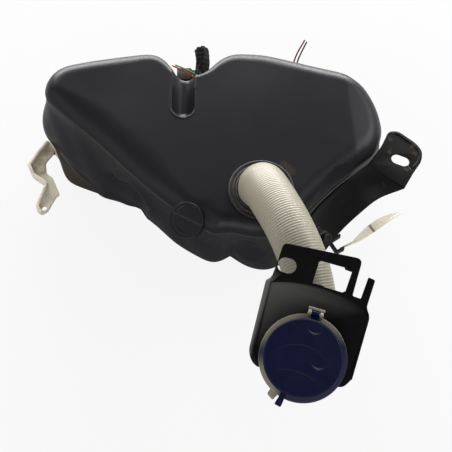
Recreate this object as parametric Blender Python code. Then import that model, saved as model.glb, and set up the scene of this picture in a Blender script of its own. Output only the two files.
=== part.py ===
"""Washer fluid reservoir for a car: a blow moulded tank with a corrugated filler neck, a hinged cap,
a neck bracket, a steel mounting bracket, a washer pump in a notch of the rear wall and a float
level sensor.

Units are metres and +Z is up. The tank stands on its flat base at z = 0, its length runs along X
and its rear wall faces +Y. Neighbouring pieces keep the gap named SEAT.
"""

import math

import bmesh
import bpy
from mathutils import Matrix, Vector

SEAT = 0.0003
# How far a cutter runs past the face that it cuts
CUT = 0.010

# Tank: blow moulded shell
TANK_HEIGHT = 0.118
TANK_WALL = 0.0028
SHOULDER_RADIUS = 0.018
BASE_RADIUS = 0.009
WAIST_Z = 0.050
LIP_Z = 0.043
TANK_POINTS = 112
# Each row is one point of the plan outline at the shoulder, then how far the wall stands out from
# it at the waist and at the base.
TANK_OUTLINE = (
    (-0.162, 0.070, 0.011, 0.002),
    (-0.160, 0.092, 0.008, 0.005),
    (-0.147, 0.106, 0.003, 0.002),
    (-0.116, 0.113, 0.000, 0.000),
    (-0.078, 0.119, 0.000, 0.000),
    (-0.055, 0.121, 0.000, 0.000),
    (-0.043, 0.114, 0.000, 0.000),
    (-0.036, 0.102, 0.000, 0.000),
    (-0.031, 0.091, 0.000, 0.000),
    (-0.019, 0.089, 0.000, 0.000),
    (-0.007, 0.090, 0.000, 0.000),
    (0.002, 0.097, 0.000, 0.000),
    (0.011, 0.112, 0.000, 0.000),
    (0.025, 0.122, 0.000, 0.000),
    (0.056, 0.121, 0.000, 0.000),
    (0.085, 0.1128, 0.000, 0.000),
    (0.114, 0.1046, 0.000, 0.000),
    (0.139, 0.098, 0.000, 0.000),
    (0.157, 0.083, 0.002, 0.000),
    (0.168, 0.060, 0.003, 0.000),
    (0.172, 0.034, 0.003, -0.002),
    (0.163, 0.008, 0.002, -0.006),
    (0.142, -0.010, 0.002, -0.010),
    (0.118, -0.030, 0.003, -0.012),
    (0.098, -0.050, 0.004, -0.012),
    (0.082, -0.070, 0.006, -0.010),
    (0.058, -0.083, 0.010, -0.008),
    (0.036, -0.081, 0.006, -0.012),
    (0.023, -0.075, 0.001, -0.015),
    (0.009, -0.080, 0.007, -0.014),
    (-0.008, -0.069, 0.009, -0.010),
    (-0.032, -0.051, 0.008, -0.008),
    (-0.052, -0.034, 0.006, -0.008),
    (-0.076, -0.012, 0.0075, -0.002),
    (-0.105, 0.018, 0.015, 0.010),
    (-0.135, 0.045, 0.019, 0.019),
)

# Channel moulded into the top face, open into the rear notch
CHANNEL_X = -0.0225
CHANNEL_WIDTH = 0.021
CHANNEL_FRONT_Y = 0.041
CHANNEL_DEPTH = 0.011
CHANNEL_LENGTH = 0.120
CHANNEL_BOTTOM_SHARE = 0.72
CHANNEL_BEND_SHARE = 0.94
CHANNEL_BEND = 0.004

# Round pad on the front shoulder and dimple in the front lobe
PAD_CENTRE = (-0.0176, -0.0655, TANK_HEIGHT - 0.0085)
PAD_NORMAL = (-0.20, -0.40, 0.89)
PAD_RADIUS = 0.0165
PAD_THICKNESS = 0.022
PAD_EDGE = 0.0012
DIMPLE_CENTRE = (0.044, -0.0905, TANK_HEIGHT - 0.0460)
DIMPLE_RADIUS = 0.013
DIMPLE_STRETCH = (1.0, 0.8, 1.8)

# Right-hand end of the top face, which falls away beyond a crease
FACET_X = 0.142
FACET_SLOPE = math.radians(10)
FACET_BLOCK = (0.10, 0.20, 0.05)

# Filler port in the top face, wide enough for the neck's root and the rubber round it
PORT_X = 0.0515
PORT_Y = -0.0390
NECK_ROOT_RADIUS = 0.0215
GROMMET_WALL = 0.0032
PORT_RADIUS = NECK_ROOT_RADIUS + SEAT + GROMMET_WALL

# Rubber ring in the port, with a lip below the wall, a ridge on its flange and a collar at its bore
GROMMET_FLANGE_RADIUS = PORT_RADIUS + 0.0055
GROMMET_FLANGE = 0.0034
GROMMET_RIM = 0.0012
GROMMET_RIDGE = 0.0020
GROMMET_RIDGE_IN = 0.0030
GROMMET_VALLEY_IN = 0.0045
GROMMET_COLLAR = 0.0022
GROMMET_LIP_REACH = 0.0012
GROMMET_LIP_HEIGHT = 0.0030
GROMMET_LIP_TAPER = 0.0010
GROMMET_LIP_DROP = 0.0012

# Filler neck: one blow moulding, corrugated along its route, with a bore all the way
NECK_HEAD_RADIUS = 0.0235
NECK_WALL = 0.0022
NECK_RIB_PITCH = 0.0066
NECK_RIB_DEPTH = 0.0011
NECK_SIDES = 20
# Points of the route: x, y and the height above the tank's top face
NECK_ROUTE = (
    (PORT_X, PORT_Y, -0.014),
    (PORT_X, PORT_Y, -0.004),
    (PORT_X, PORT_Y, 0.005),
    (PORT_X, PORT_Y, 0.013),
    (0.0528, -0.0445, 0.028),
    (0.0585, -0.0670, 0.045),
    (0.0680, -0.0990, 0.054),
    (0.0770, -0.1310, 0.054),
    (0.0830, -0.1610, 0.044),
    (0.0840, -0.1860, 0.033),
    (0.0825, -0.2070, 0.038),
)
NECK_PLAIN_ROOT = 0.026

# Head of the neck: a frame with +Z out of the mouth and +Y towards the hinge
HEAD_CENTRE = (0.0775, -0.2255, TANK_HEIGHT + 0.0825)
HEAD_LEAN_FRONT = math.radians(17.2)
HEAD_LEAN_LEFT = math.radians(4.9)
HEAD_TURN = math.radians(-17.0)
HEAD_STRAIGHT = 0.030
HEAD_PLAIN = 0.018
HEAD_BEAD = 0.0030
HEAD_BEAD_RADIUS = NECK_HEAD_RADIUS + 0.0030
HEAD_BEAD_FOOT = 0.0015
HEAD_FLANGE = 0.0028
HEAD_FLANGE_EDGE = 0.0006
MOUTH_RADIUS = NECK_HEAD_RADIUS + 0.0015
MOUTH_BEAD_RADIUS = MOUTH_RADIUS + 0.0023
MOUTH_BEAD_LOW = 0.55
MOUTH_BEAD_HIGH = 0.75
MOUTH_LIP = 0.0008
MOUTH_HEIGHT = 0.0100

# Cap with its hinge at the back of the flange
CAP_WALL = 0.0022
CAP_CLEARANCE = 0.0005
CAP_RADIUS = MOUTH_BEAD_RADIUS + CAP_CLEARANCE + CAP_WALL
CAP_SKIRT_EDGE = (0.0004, 0.0010)
CAP_LIFT = 0.0008
CAP_EDGE = 0.0018
SEAL_HEIGHT = 0.0014
HEAD_FLANGE_RADIUS = CAP_RADIUS + 0.0040
HINGE_Y = CAP_RADIUS + 0.0045
HINGE_Z = 0.0034
HINGE_ARM = 0.0018
HINGE_PIN_RADIUS = 0.0014
KNUCKLE_RADIUS = 0.0028
KNUCKLE_WIDTH = 0.0060
EAR_WIDTH = 0.0026
EAR_DEPTH = 0.0054
TAB_ANGLE = math.radians(258)
TAB_WIDTH = 0.0052
TAB_REACH = CAP_RADIUS + 0.0100
TAB_RAISE = 0.0022

# Bracket plate round the neck, in the head's frame
PLATE_THICKNESS = 0.0034
PLATE_RECESS = 0.0010
PLATE_RECESS_RADIUS = 0.0560
PLATE_SKIRT = 0.0085
PLATE_SKIRT_WALL = 0.0020
PLATE_SKIRT_DROP = 0.0006
PLATE_SKIRT_LEFT = ((-0.0412, -0.0080), (-0.0450, 0.0485))
PLATE_SKIRT_RIGHT = ((0.0402, 0.0415), (0.0402, -0.0050))
PLATE_SLOT_LENGTH = 0.100
PLATE_OUTLINE = (
    (-0.0385, 0.0780),
    (0.0225, 0.0780),
    (0.0229, 0.0510),
    (0.0295, 0.0510),
    (0.0300, 0.0695),
    (0.0358, 0.0695),
    (0.0358, 0.0480),
    (0.0402, 0.0425),
    (0.0402, -0.0060),
    (0.0360, -0.0152),
    (0.0262, -0.0152),
    (-0.0262, -0.0145),
    (-0.0330, -0.0145),
    (-0.0412, -0.0090),
    (-0.0450, 0.0495),
    (-0.0390, 0.0600),
)
PLATE_CORNER = 0.0030
PLATE_HOLE_CENTRE = (-0.0302, 0.0610)
PLATE_HOLE_SIZE = (0.0126, 0.0100)
PLATE_WINDOW_LOW = (-0.0087, 0.0537)
PLATE_WINDOW_HIGH = (0.0169, 0.0716)
PLATE_WINDOW_CORNER = 0.0016

# Steel bracket: a slotted tab and an arm ruled between two edges
STEEL = 0.0025
TAB_Z = TANK_HEIGHT - 0.0180
TAB_CORNER = 0.0040
TAB_OUTLINE = (
    (0.1985, -0.0110),
    (0.2070, 0.0010),
    (0.2085, 0.0115),
    (0.2035, 0.0200),
    (0.1870, 0.0340),
    (0.1785, 0.0340),
    (0.1745, 0.0180),
)
# Points of the arm's two edges: x, y and the height below the tab
ARM_UPPER_EDGE = (
    (0.1590, -0.0050, 0.0000),
    (0.1415, -0.0185, 0.0000),
    (0.1215, -0.0365, 0.0015),
    (0.1015, -0.0580, 0.0030),
    (0.0905, -0.0780, 0.0060),
)
ARM_LOWER_EDGE = (
    (0.1880, -0.0285, 0.0000),
    (0.1660, -0.0320, 0.0130),
    (0.1475, -0.0430, 0.0240),
    (0.1290, -0.0585, 0.0320),
    (0.1120, -0.0800, 0.0340),
)
ARM_ROWS = 9
ARM_COLUMNS = 5
ARM_STEPS = 200
# Share of the arm over which its frame reads the surface's slope
ARM_NEAR = 0.05
ARM_HOLLOW = 0.0030
ARM_OUT = (0.72, -0.54, 0.44)
ARM_PAD = 0.0048
ARM_PAD_RADIUS = 0.0084
SLOT_CENTRE = (0.1872, 0.0030)
SLOT_LENGTH = 0.0160
SLOT_WIDTH = 0.0090
SLOT_TURN = math.radians(-24)
BOLT_RADIUS = 0.0030
BOLT_HEAD_RADIUS = 0.0058
BOLT_HEAD = 0.0045
BOLT_FLANGE_RADIUS = 0.0072
BOLT_FLANGE = 0.0014
BOLT_LENGTH = 0.0100
BOLT_SHARE = 0.88
BOLT_ACROSS = (0.27, 0.73)
BOSS_RADIUS = 0.0075
BOSS_LENGTH = 0.0240
MOULD_DRAFT = 0.0010

# Clip on the arm's end and the strap tail that it holds
CLIP_ROUTE = ((0.1300, -0.0598), (0.1195, -0.0670), (0.1255, -0.0775), (0.1330, -0.0735))
CLIP_Z = TAB_Z - 0.0431
CLIP_HEIGHT = 0.0085
CLIP_THICKNESS = 0.0018
# Points of the strap: x, y and the height below the tab
STRAP_ROUTE = (
    (0.1291, -0.0735, 0.0388),
    (0.1338, -0.0710, 0.0390),
    (0.1440, -0.0655, 0.0394),
    (0.1560, -0.0560, 0.0390),
    (0.1670, -0.0480, 0.0380),
    (0.1790, -0.0405, 0.0380),
    (0.1915, -0.0350, 0.0385),
)
STRAP_WIDTHS = (0.0014, 0.0014, 0.0050, 0.0066, 0.0070, 0.0052, 0.0014)
STRAP_TWIST = (0, 0, 18, 30, 8, -25, -40)
STRAP_THICKNESS = 0.0012

# White arm at the left end: a zigzag strip with a raised outer border and a screwed foot
SIDE_PAD_CENTRE = (-0.1610, 0.0555, 0.0265)
SIDE_PAD_OUT = (-0.77, -0.64, 0.0)
SIDE_PAD_RADIUS = 0.0085
SIDE_PAD_LENGTH = 0.0160
SIDE_FOOT = (0.0160, 0.0065, 0.0026)
SIDE_ARM_Z = 0.0330
SIDE_ARM_FLOOR = 0.0026
SIDE_ARM_BORDER = 0.0075
SIDE_ARM_BORDER_WALL = 0.0034
SIDE_ARM_CORNER = 0.0022
# The border starts this much outside and above the floor's faces, so that the two don't coincide
SIDE_ARM_SKEW = 0.0001
SIDE_ARM_OUTER = (
    (-0.1690, 0.0600),
    (-0.1865, 0.0310),
    (-0.1805, 0.0180),
    (-0.1665, 0.0080),
    (-0.1735, -0.0150),
    (-0.1725, -0.0215),
    (-0.1675, -0.0250),
)
SIDE_ARM_INNER = (
    (-0.1600, 0.0475),
    (-0.1685, 0.0350),
    (-0.1665, 0.0225),
    (-0.1595, 0.0170),
    (-0.1510, -0.0020),
    (-0.1545, -0.0045),
    (-0.1620, -0.0215),
)
SIDE_ARM_HOLE = (-0.1655, -0.0175)
SIDE_ARM_HOLE_RADIUS = 0.0026
SIDE_SCREW_RADIUS = 0.0020
SIDE_SCREW_LENGTH = 0.0110
SIDE_SCREW_HEAD_RADIUS = 0.0038
SIDE_SCREW_HEAD = 0.0022
SIDE_SCREW_CROWN = 0.6

# Washer pump, upright in the notch
PUMP_X = -0.0168
PUMP_RADIUS = 0.0135
PUMP_PORT_Z = 0.0210
PUMP_BASE_Z = 0.0060
PUMP_COVER = 0.0030
PUMP_CHAMBER_TOP = 0.0290
PUMP_DECK = 0.0040
PUMP_MOTOR_TOP = 0.0780
PUMP_WALL = 0.0024
PUMP_GROMMET_RADIUS = 0.0092
PUMP_GROMMET_FLANGE = 0.0024
PUMP_PORT_HOLE = 0.0072
PUMP_NIPPLE_RADIUS = 0.0046
PUMP_NIPPLE_REACH = 0.0080
PUMP_BORE_RADIUS = 0.0030
PUMP_GROMMET_LIP = 0.0020
PUMP_GROMMET_LIP_REACH = 0.0016
PUMP_SPOUT_RADIUS = 0.0028
PUMP_SPOUT_REACH = 0.0105
PUMP_SPOUT_BARB = 0.0006
PUMP_SPOUT_BARB_LENGTH = 0.0035
PUMP_SPOUT_BORE = 0.0016
PUMP_SHAFT_RADIUS = 0.0011
PUMP_SHAFT_IN_MOTOR = 0.0220
PUMP_CAN_STEP = 0.0008
PUMP_RIM = 0.0060
PUMP_RIM_EDGE = 0.0010
IMPELLER_CLEARANCE = 0.0012
IMPELLER_HUB_RADIUS = 0.0034
IMPELLER_DISC = 0.0016
IMPELLER_VANES = 6
VANE_THICKNESS = 0.0014
VANE_ROOT = 0.0025
STRAINER_WALL = 0.0011
STRAINER_SLEEVE = 0.0030
STRAINER_LENGTH = 0.0080
STRAINER_TIP_RADIUS = 0.0020
PLUG_SIZE = (0.0150, 0.0150, 0.0115)
PLUG_SHIFT = -0.0068
PLUG_EDGE = 0.0012
NOTCH_PAD = 0.0032
NOTCH_PAD_RADIUS = 0.0120

# Level sensor through the rear wall of the right lobe
SENSOR_X = 0.0850
SENSOR_Z = 0.0430
SENSOR_HOLE = 0.0105
SENSOR_FLANGE = 0.0135
SENSOR_FLANGE_THICKNESS = 0.0022
SENSOR_LIP = 0.0025
SENSOR_LIP_REACH = 0.0016
SENSOR_BORE_WALL = 0.0016
SENSOR_STEM_RADIUS = 0.0072
SENSOR_STEM_END = 0.0150
SENSOR_STEM_STEP = 0.0055
SENSOR_HEAD = 0.0090
SENSOR_HEAD_EDGE = 0.0030
SENSOR_PIVOT = 0.0210
CLEVIS_GAP = 0.0060
CLEVIS_WALL = 0.0022
CLEVIS_HEIGHT = 0.0064
CLEVIS_OVER = 0.0026
CLEVIS_ROOT = 0.0145
SENSOR_PIN_RADIUS = 0.0010
SENSOR_PIN_LENGTH = 0.0108
SENSOR_PLUG = (0.0150, 0.0125, 0.0110)
SENSOR_PLUG_BELOW = 0.0050
FLOAT_RADIUS = 0.0066
FLOAT_LENGTH = 0.0240
FLOAT_ARM = 0.0360
FLOAT_EDGE = 0.0012
FLOAT_LEVER = (0.0052, 0.0044)
FLOAT_REST = math.radians(-28)

# Cords: each route is chosen by hand, and a cord's step spaces the points read from its smooth curve
SLEEVE_RADIUS = 0.0061
SLEEVE_STEP = 0.006
SLEEVE_SIDES = 3
SLEEVE_ROUTE = (
    (-0.0052, 0.1075, 0.0845),
    (-0.0046, 0.1130, 0.0850),
    (-0.0040, 0.1190, 0.0865),
    (-0.0042, 0.1260, 0.0885),
    (-0.0052, 0.1340, 0.0902),
    (-0.0060, 0.1430, 0.0910),
)
WIRE_RADIUS = 0.0008
WIRE_STEP = 0.004
WIRE_SIDES = 2
WIRE_ORANGE_ROUTE = (
    (-0.0082, 0.1064, 0.0868),
    (-0.0094, 0.1045, 0.0880),
    (-0.0125, 0.1035, 0.0903),
    (-0.0170, 0.1050, 0.0922),
    (-0.0225, 0.1085, 0.0935),
    (-0.0290, 0.1115, 0.0945),
    (-0.0355, 0.1150, 0.0950),
)
WIRE_GREEN_ROUTE = (
    (-0.0058, 0.1063, 0.0876),
    (-0.0068, 0.1048, 0.0896),
    (-0.0100, 0.1052, 0.0918),
    (-0.0145, 0.1080, 0.0936),
    (-0.0200, 0.1115, 0.0948),
    (-0.0262, 0.1145, 0.0955),
    (-0.0325, 0.1178, 0.0958),
)
WIRE_RED_ROUTE = (
    (0.0882, 0.1300, 0.0508),
    (0.0884, 0.1304, 0.0600),
    (0.0892, 0.1320, 0.0700),
    (0.0908, 0.1340, 0.0800),
    (0.0935, 0.1365, 0.0890),
    (0.0970, 0.1400, 0.0950),
    (0.1000, 0.1440, 0.0985),
)
WIRE_BLACK_ROUTE = (
    (0.0914, 0.1290, 0.0508),
    (0.0918, 0.1296, 0.0600),
    (0.0926, 0.1308, 0.0700),
    (0.0940, 0.1326, 0.0800),
    (0.0965, 0.1350, 0.0885),
    (0.0995, 0.1385, 0.0945),
    (0.1020, 0.1425, 0.0975),
)

# The flat pad for the pump stands NOTCH_PAD proud of the notch's wall
REAR_OUTLINE = [(x, y) for x, y, _, _ in TANK_OUTLINE if y > 0]
NOTCH_WALL_Y = min(y for x, y in REAR_OUTLINE if abs(x - PUMP_X) < 0.010) + NOTCH_PAD


def material(name, colour, roughness, metallic=0.0):
    """A Principled material with one colour."""
    made = bpy.data.materials.new(name)
    made.use_nodes = True
    shader = made.node_tree.nodes["Principled BSDF"]
    shader.inputs["Base Color"].default_value = (*colour, 1.0)
    shader.inputs["Roughness"].default_value = roughness
    shader.inputs["Metallic"].default_value = metallic
    return made


def add_object(name, bm, finish=None, matrix=None, smooth_angle=35):
    """Turns a bmesh into an object with its material, its place and its shading."""
    bmesh.ops.recalc_face_normals(bm, faces=bm.faces)
    mesh = bpy.data.meshes.new(name)
    bm.to_mesh(mesh)
    bm.free()
    if finish is not None:
        mesh.materials.append(finish)
    mesh.shade_smooth()
    mesh.set_sharp_from_angle(angle=math.radians(smooth_angle))
    made = bpy.data.objects.new(name, mesh)
    bpy.context.collection.objects.link(made)
    if matrix is not None:
        made.matrix_world = matrix
    return made


def add_cutter(name, bm, matrix=None):
    """A hidden helper that a Boolean modifier reads."""
    cutter = add_object(name, bm, matrix=matrix)
    cutter.hide_render = True
    cutter.display_type = "WIRE"
    return cutter


def boolean(target, helper, operation="DIFFERENCE"):
    """Cuts, joins or keeps with one helper object."""
    modifier = target.modifiers.new(helper.name, "BOOLEAN")
    modifier.operation = operation
    modifier.solver = "EXACT"
    modifier.object = helper


def loft(rings, cyclic=False):
    """Joins rings of equal length with quads. A cyclic loft closes on itself, another gets caps."""
    bm = bmesh.new()
    rows = [[bm.verts.new(point) for point in ring] for ring in rings]
    count = len(rows[0])
    pairs = list(zip(rows, rows[1:]))
    if cyclic:
        pairs.append((rows[-1], rows[0]))
    for low, high in pairs:
        for i in range(count):
            j = (i + 1) % count
            bm.faces.new((low[i], low[j], high[j], high[i]))
    if not cyclic:
        bm.faces.new(rows[0])
        bm.faces.new(rows[-1])
    return bm


def circle(radius, z, sides, matrix=None):
    """Points of a circle about +Z."""
    matrix = matrix or Matrix.Identity(4)
    turns = (2 * math.pi * i / sides for i in range(sides))
    return [matrix @ Vector((radius * math.cos(a), radius * math.sin(a), z)) for a in turns]


def turned(profile, sides, hollow=False):
    """A turned solid about +Z from (radius, z) pairs. A hollow profile goes round a bore."""
    return loft([circle(radius, z, sides) for radius, z in profile], cyclic=hollow)


def prism(outline, low, high):
    """A plan outline extruded between two heights."""
    return loft([[Vector((x, y, z)) for x, y in outline] for z in (low, high)])


def box(low, high):
    """A box between two corners."""
    outline = ((low[0], low[1]), (high[0], low[1]), (high[0], high[1]), (low[0], high[1]))
    return prism(outline, low[2], high[2])


def rounded(outline, radius, steps=3):
    """The outline with each corner replaced by a short curve that starts radius away from it."""
    smooth = []
    count = len(outline)
    for i in range(count):
        corner = Vector(outline[i])
        back = Vector(outline[i - 1]) - corner
        ahead = Vector(outline[(i + 1) % count]) - corner
        start = corner + back.normalized() * min(radius, back.length * 0.45)
        end = corner + ahead.normalized() * min(radius, ahead.length * 0.45)
        for step in range(steps + 1):
            t = step / steps
            smooth.append(tuple(start * (1 - t) ** 2 + corner * 2 * t * (1 - t) + end * t * t))
    return smooth


def smooth_route(points, count):
    """Evenly spaced points on a Catmull-Rom curve through the route's own points."""
    knots = [Vector(point) for point in points]
    knots = [knots[0] * 2 - knots[1]] + knots + [knots[-1] * 2 - knots[-2]]
    dense = []
    for a, b, c, d in zip(knots, knots[1:], knots[2:], knots[3:]):
        for step in range(12):
            t = step / 12
            dense.append(
                0.5
                * (
                    2 * b
                    + (c - a) * t
                    + (2 * a - 5 * b + 4 * c - d) * t * t
                    + (3 * b - a - 3 * c + d) * t ** 3
                )
            )
    dense.append(knots[-2])
    return resample(dense, count, closed=False)


def resample(points, count, closed):
    """Points at equal distances along a polyline."""
    path = points + [points[0]] if closed else points
    lengths = [0.0]
    for a, b in zip(path, path[1:]):
        lengths.append(lengths[-1] + (b - a).length)
    spans = count if closed else count - 1
    placed = []
    index = 0
    for i in range(count):
        target = min(lengths[-1] * i / spans, lengths[-1])
        while index < len(path) - 2 and lengths[index + 1] < target:
            index += 1
        share = (target - lengths[index]) / (lengths[index + 1] - lengths[index])
        placed.append(path[index].lerp(path[index + 1], share))
    return placed


def capsule(length, width, sides=8):
    """Plan outline of a slot with round ends, along X."""
    radius = width / 2
    reach = length / 2 - radius
    outline = []
    for end, first in ((1, -90), (-1, 90)):
        for i in range(sides + 1):
            a = math.radians(first + 180 * i / sides)
            outline.append((end * reach + radius * math.cos(a), radius * math.sin(a)))
    return outline


def lookalong(origin, direction):
    """A frame at origin whose +Z is along direction."""
    turn = Vector(direction).normalized().to_track_quat("Z", "Y").to_matrix().to_4x4()
    return Matrix.Translation(origin) @ turn


def averaged(ring):
    """Each entry of a closed ring averaged with its neighbours, itself counted twice."""
    return [(ring[i - 1] + ring[i] * 2 + ring[(i + 1) % len(ring)]) / 4 for i in range(len(ring))]


def tank_rings(count, wall):
    """Rings of the tank from its top face to its base, moved inwards by a wall."""
    rows = [Vector((x, y, 0)) for x, y, _, _ in TANK_OUTLINE]
    flares = {tuple(row): Vector((*sizes[2:], 0)) for row, sizes in zip(rows, TANK_OUTLINE)}
    plan = resample(rows, count, closed=True)
    flare = []
    for point in plan:
        near = sorted(rows, key=lambda row: (row - point).length)[:2]
        first, second = ((row - point).length for row in near)
        share = first / (first + second)
        flare.append(flares[tuple(near[0])].lerp(flares[tuple(near[1])], share))
    for _ in range(count // 50):
        plan = averaged(plan)
        flare = averaged(flare)
    normals = []
    for i in range(count):
        along = plan[(i + 1) % count] - plan[i - 1]
        normals.append(Vector((-along.y, along.x, 0)).normalized())
    for _ in range(count // 28):
        normals = [normal.normalized() for normal in averaged(normals)]

    def ring(z, inset, waist_share, base_share):
        return [
            p + n * (waist_share * f.x + base_share * f.y - inset - wall) + Vector((0, 0, z))
            for p, n, f in zip(plan, normals, flare)
        ]

    top = TANK_HEIGHT - wall
    base = wall
    rings = []
    for angle in (0, 22.5, 45, 67.5, 90):
        drop = SHOULDER_RADIUS * (1 - math.cos(math.radians(angle)))
        inset = SHOULDER_RADIUS * (1 - math.sin(math.radians(angle)))
        rings.append(ring(top - drop, inset, 0, 0))
    rings.append(ring(0.5 * (TANK_HEIGHT - SHOULDER_RADIUS + WAIST_Z), 0, 0.55, 0))
    rings.append(ring(WAIST_Z, 0, 1, 0))
    rings.append(ring(LIP_Z, 0, 0.3, 0.7))
    rings.append(ring(base + BASE_RADIUS, 0, 0, 1))
    rings.append(ring(base + BASE_RADIUS * 0.3, BASE_RADIUS * 0.3, 0, 1))
    rings.append(ring(base, BASE_RADIUS, 0, 1))
    return rings


def channel_shape(grow):
    """The channel's solid: a capsule in plan, sunk from above into the top face."""
    outline = capsule(CHANNEL_LENGTH, CHANNEL_WIDTH + 2 * grow, 7)
    deep = TANK_HEIGHT - CHANNEL_DEPTH - grow
    levels = (
        (CHANNEL_BOTTOM_SHARE, deep),
        (CHANNEL_BEND_SHARE, deep + CHANNEL_BEND),
        (1.0, TANK_HEIGHT + CUT),
    )
    rings = [[Vector((x, y * share, z)) for x, y in outline] for share, z in levels]
    centre_y = CHANNEL_FRONT_Y - grow + CHANNEL_LENGTH / 2
    place = Matrix.Translation((CHANNEL_X, centre_y, 0)) @ Matrix.Rotation(math.radians(90), 4, "Z")
    return loft(rings), place


def ball(radius, rings=8, sides=14):
    """A sphere as turned rings about +Z."""
    angles = [math.pi * (i + 0.5) / rings for i in range(rings)]
    return turned([(radius * math.sin(a), -radius * math.cos(a)) for a in angles], sides)


def make_tank():
    finish = material("tank_plastic", (0.026, 0.025, 0.031), 0.45)
    tank = add_object("tank_shell", loft(tank_rings(TANK_POINTS, 0.0)), finish)
    cavity = add_cutter("tank_cavity", loft(tank_rings(TANK_POINTS // 2, TANK_WALL)))

    shape, place = channel_shape(0.0)
    boolean(tank, add_cutter("channel_cut", shape, place))
    shape, place = channel_shape(TANK_WALL)
    boolean(cavity, add_cutter("channel_wall", shape, place))

    pad = lookalong(PAD_CENTRE, PAD_NORMAL)
    profile = ((PAD_RADIUS, -PAD_THICKNESS), (PAD_RADIUS, -PAD_EDGE), (PAD_RADIUS - PAD_EDGE, 0.0))
    boolean(tank, add_cutter("pad_disc", turned(profile, 28), pad), "UNION")
    dimple = Matrix.Translation(DIMPLE_CENTRE) @ Matrix.Diagonal((*DIMPLE_STRETCH, 1))
    boolean(tank, add_cutter("dimple_cut", ball(DIMPLE_RADIUS), dimple))
    boolean(cavity, add_cutter("dimple_wall", ball(DIMPLE_RADIUS + TANK_WALL), dimple))
    for body, drop in ((tank, 0.0), (cavity, TANK_WALL)):
        tilt = Matrix.Translation((FACET_X, 0, TANK_HEIGHT - drop)) @ Matrix.Rotation(FACET_SLOPE, 4, "Y")
        length, half_width, height = FACET_BLOCK
        wedge = box((0, -half_width, 0), (length, half_width, height))
        boolean(body, add_cutter(f"{body.name}_facet", wedge, tilt))

    for number, across in enumerate(BOLT_ACROSS):
        frame = arm_frame(BOLT_SHARE, across)
        reach = -ARM_PAD / 2 - SEAT
        boss = turned(((BOSS_RADIUS + MOULD_DRAFT, reach - BOSS_LENGTH), (BOSS_RADIUS, reach)), 16)
        boolean(tank, add_cutter(f"boss_{number}", boss, frame), "UNION")
    side_pad = turned(((SIDE_PAD_RADIUS + MOULD_DRAFT, -SIDE_PAD_LENGTH), (SIDE_PAD_RADIUS, 0)), 18)
    boolean(tank, add_cutter("side_pad", side_pad, side_pad_frame()), "UNION")
    notch_pad = turned(((NOTCH_PAD_RADIUS, -TANK_WALL - NOTCH_PAD), (NOTCH_PAD_RADIUS, 0)), 24)
    boolean(tank, add_cutter("notch_pad", notch_pad, pump_port_frame()), "UNION")
    boolean(tank, cavity)

    for number, across in enumerate(BOLT_ACROSS):
        radius = BOLT_RADIUS + SEAT
        hole = turned(((radius, -ARM_PAD / 2 - BOLT_LENGTH - SEAT), (radius, 0)), 12)
        boolean(tank, add_cutter(f"boss_hole_{number}", hole, arm_frame(BOLT_SHARE, across)))
    port = turned(((PORT_RADIUS, TANK_HEIGHT - 3 * TANK_WALL), (PORT_RADIUS, TANK_HEIGHT + CUT)), 32)
    boolean(tank, add_cutter("filler_port", port, Matrix.Translation((PORT_X, PORT_Y, 0))))
    for name, frame, radius, depth in (
        ("pump_port", pump_port_frame(), PUMP_PORT_HOLE, 4 * TANK_WALL),
        ("sensor_port", sensor_frame(), SENSOR_HOLE, 4 * TANK_WALL),
        ("side_screw_hole", side_pad_frame(), SIDE_SCREW_RADIUS + SEAT, SIDE_SCREW_LENGTH + SEAT),
    ):
        hole = turned(((radius, -depth), (radius, 4 * TANK_WALL)), 20)
        boolean(tank, add_cutter(name, hole, frame))


def side_pad_frame():
    """Frame on the moulded pad of the white arm: +Z points out of the tank and +Y points up."""
    out = Vector(SIDE_PAD_OUT).normalized()
    up = Vector((0, 0, 1))
    frame = Matrix((up.cross(out), up, out)).transposed().to_4x4()
    return Matrix.Translation(SIDE_PAD_CENTRE) @ frame


def pump_port_frame():
    """Frame on the notch's pad: +Z points out of the tank."""
    return lookalong((PUMP_X, NOTCH_WALL_Y, PUMP_PORT_Z), (0, 1, 0))


def sensor_frame():
    """Frame on the rear wall of the right lobe: +Z points out of the tank and +Y points up."""
    rows = [Vector(row[:2]) for row in TANK_OUTLINE]
    index = min(range(len(rows)), key=lambda i: abs(rows[i].x - SENSOR_X) + (rows[i].y < 0))
    along = (rows[index + 1] - rows[index - 1]).normalized()
    out = Vector((-along.y, along.x, 0))
    x_axis = Vector((along.x, along.y, 0)) * -1
    up = Vector((0, 0, 1))
    frame = Matrix((x_axis, up, out)).transposed().to_4x4()
    return Matrix.Translation((rows[index].x, rows[index].y, SENSOR_Z)) @ frame


def arm_point(share, across):
    """A point of the arm's middle surface, share along it and across it, with its hollow."""
    upper = ARM_EDGES[0][min(round(share * ARM_STEPS), ARM_STEPS)]
    lower = ARM_EDGES[1][min(round(share * ARM_STEPS), ARM_STEPS)]
    hollow = ARM_HOLLOW * 4 * across * (1 - across) * min(share * 3, 1)
    return upper.lerp(lower, across) - Vector(ARM_OUT) * hollow


def arm_frame(share, across):
    """Frame on the arm's middle surface: +Z is its outward face."""
    along = arm_point(share + ARM_NEAR, across) - arm_point(share - ARM_NEAR, across)
    side = arm_point(share, across + ARM_NEAR) - arm_point(share, across - ARM_NEAR)
    return lookalong(arm_point(share, across), along.cross(side))


def frames_along(points):
    """A frame at each point with +Z along the route, turned as little as possible on the way."""
    frames = []
    side = Vector((1, 0, 0))
    for i, point in enumerate(points):
        tangent = (points[min(i + 1, len(points) - 1)] - points[max(i - 1, 0)]).normalized()
        side = (side - tangent * side.dot(tangent)).normalized()
        frame = Matrix((side, tangent.cross(side), tangent)).transposed().to_4x4()
        frames.append(Matrix.Translation(point) @ frame)
    return frames


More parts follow.
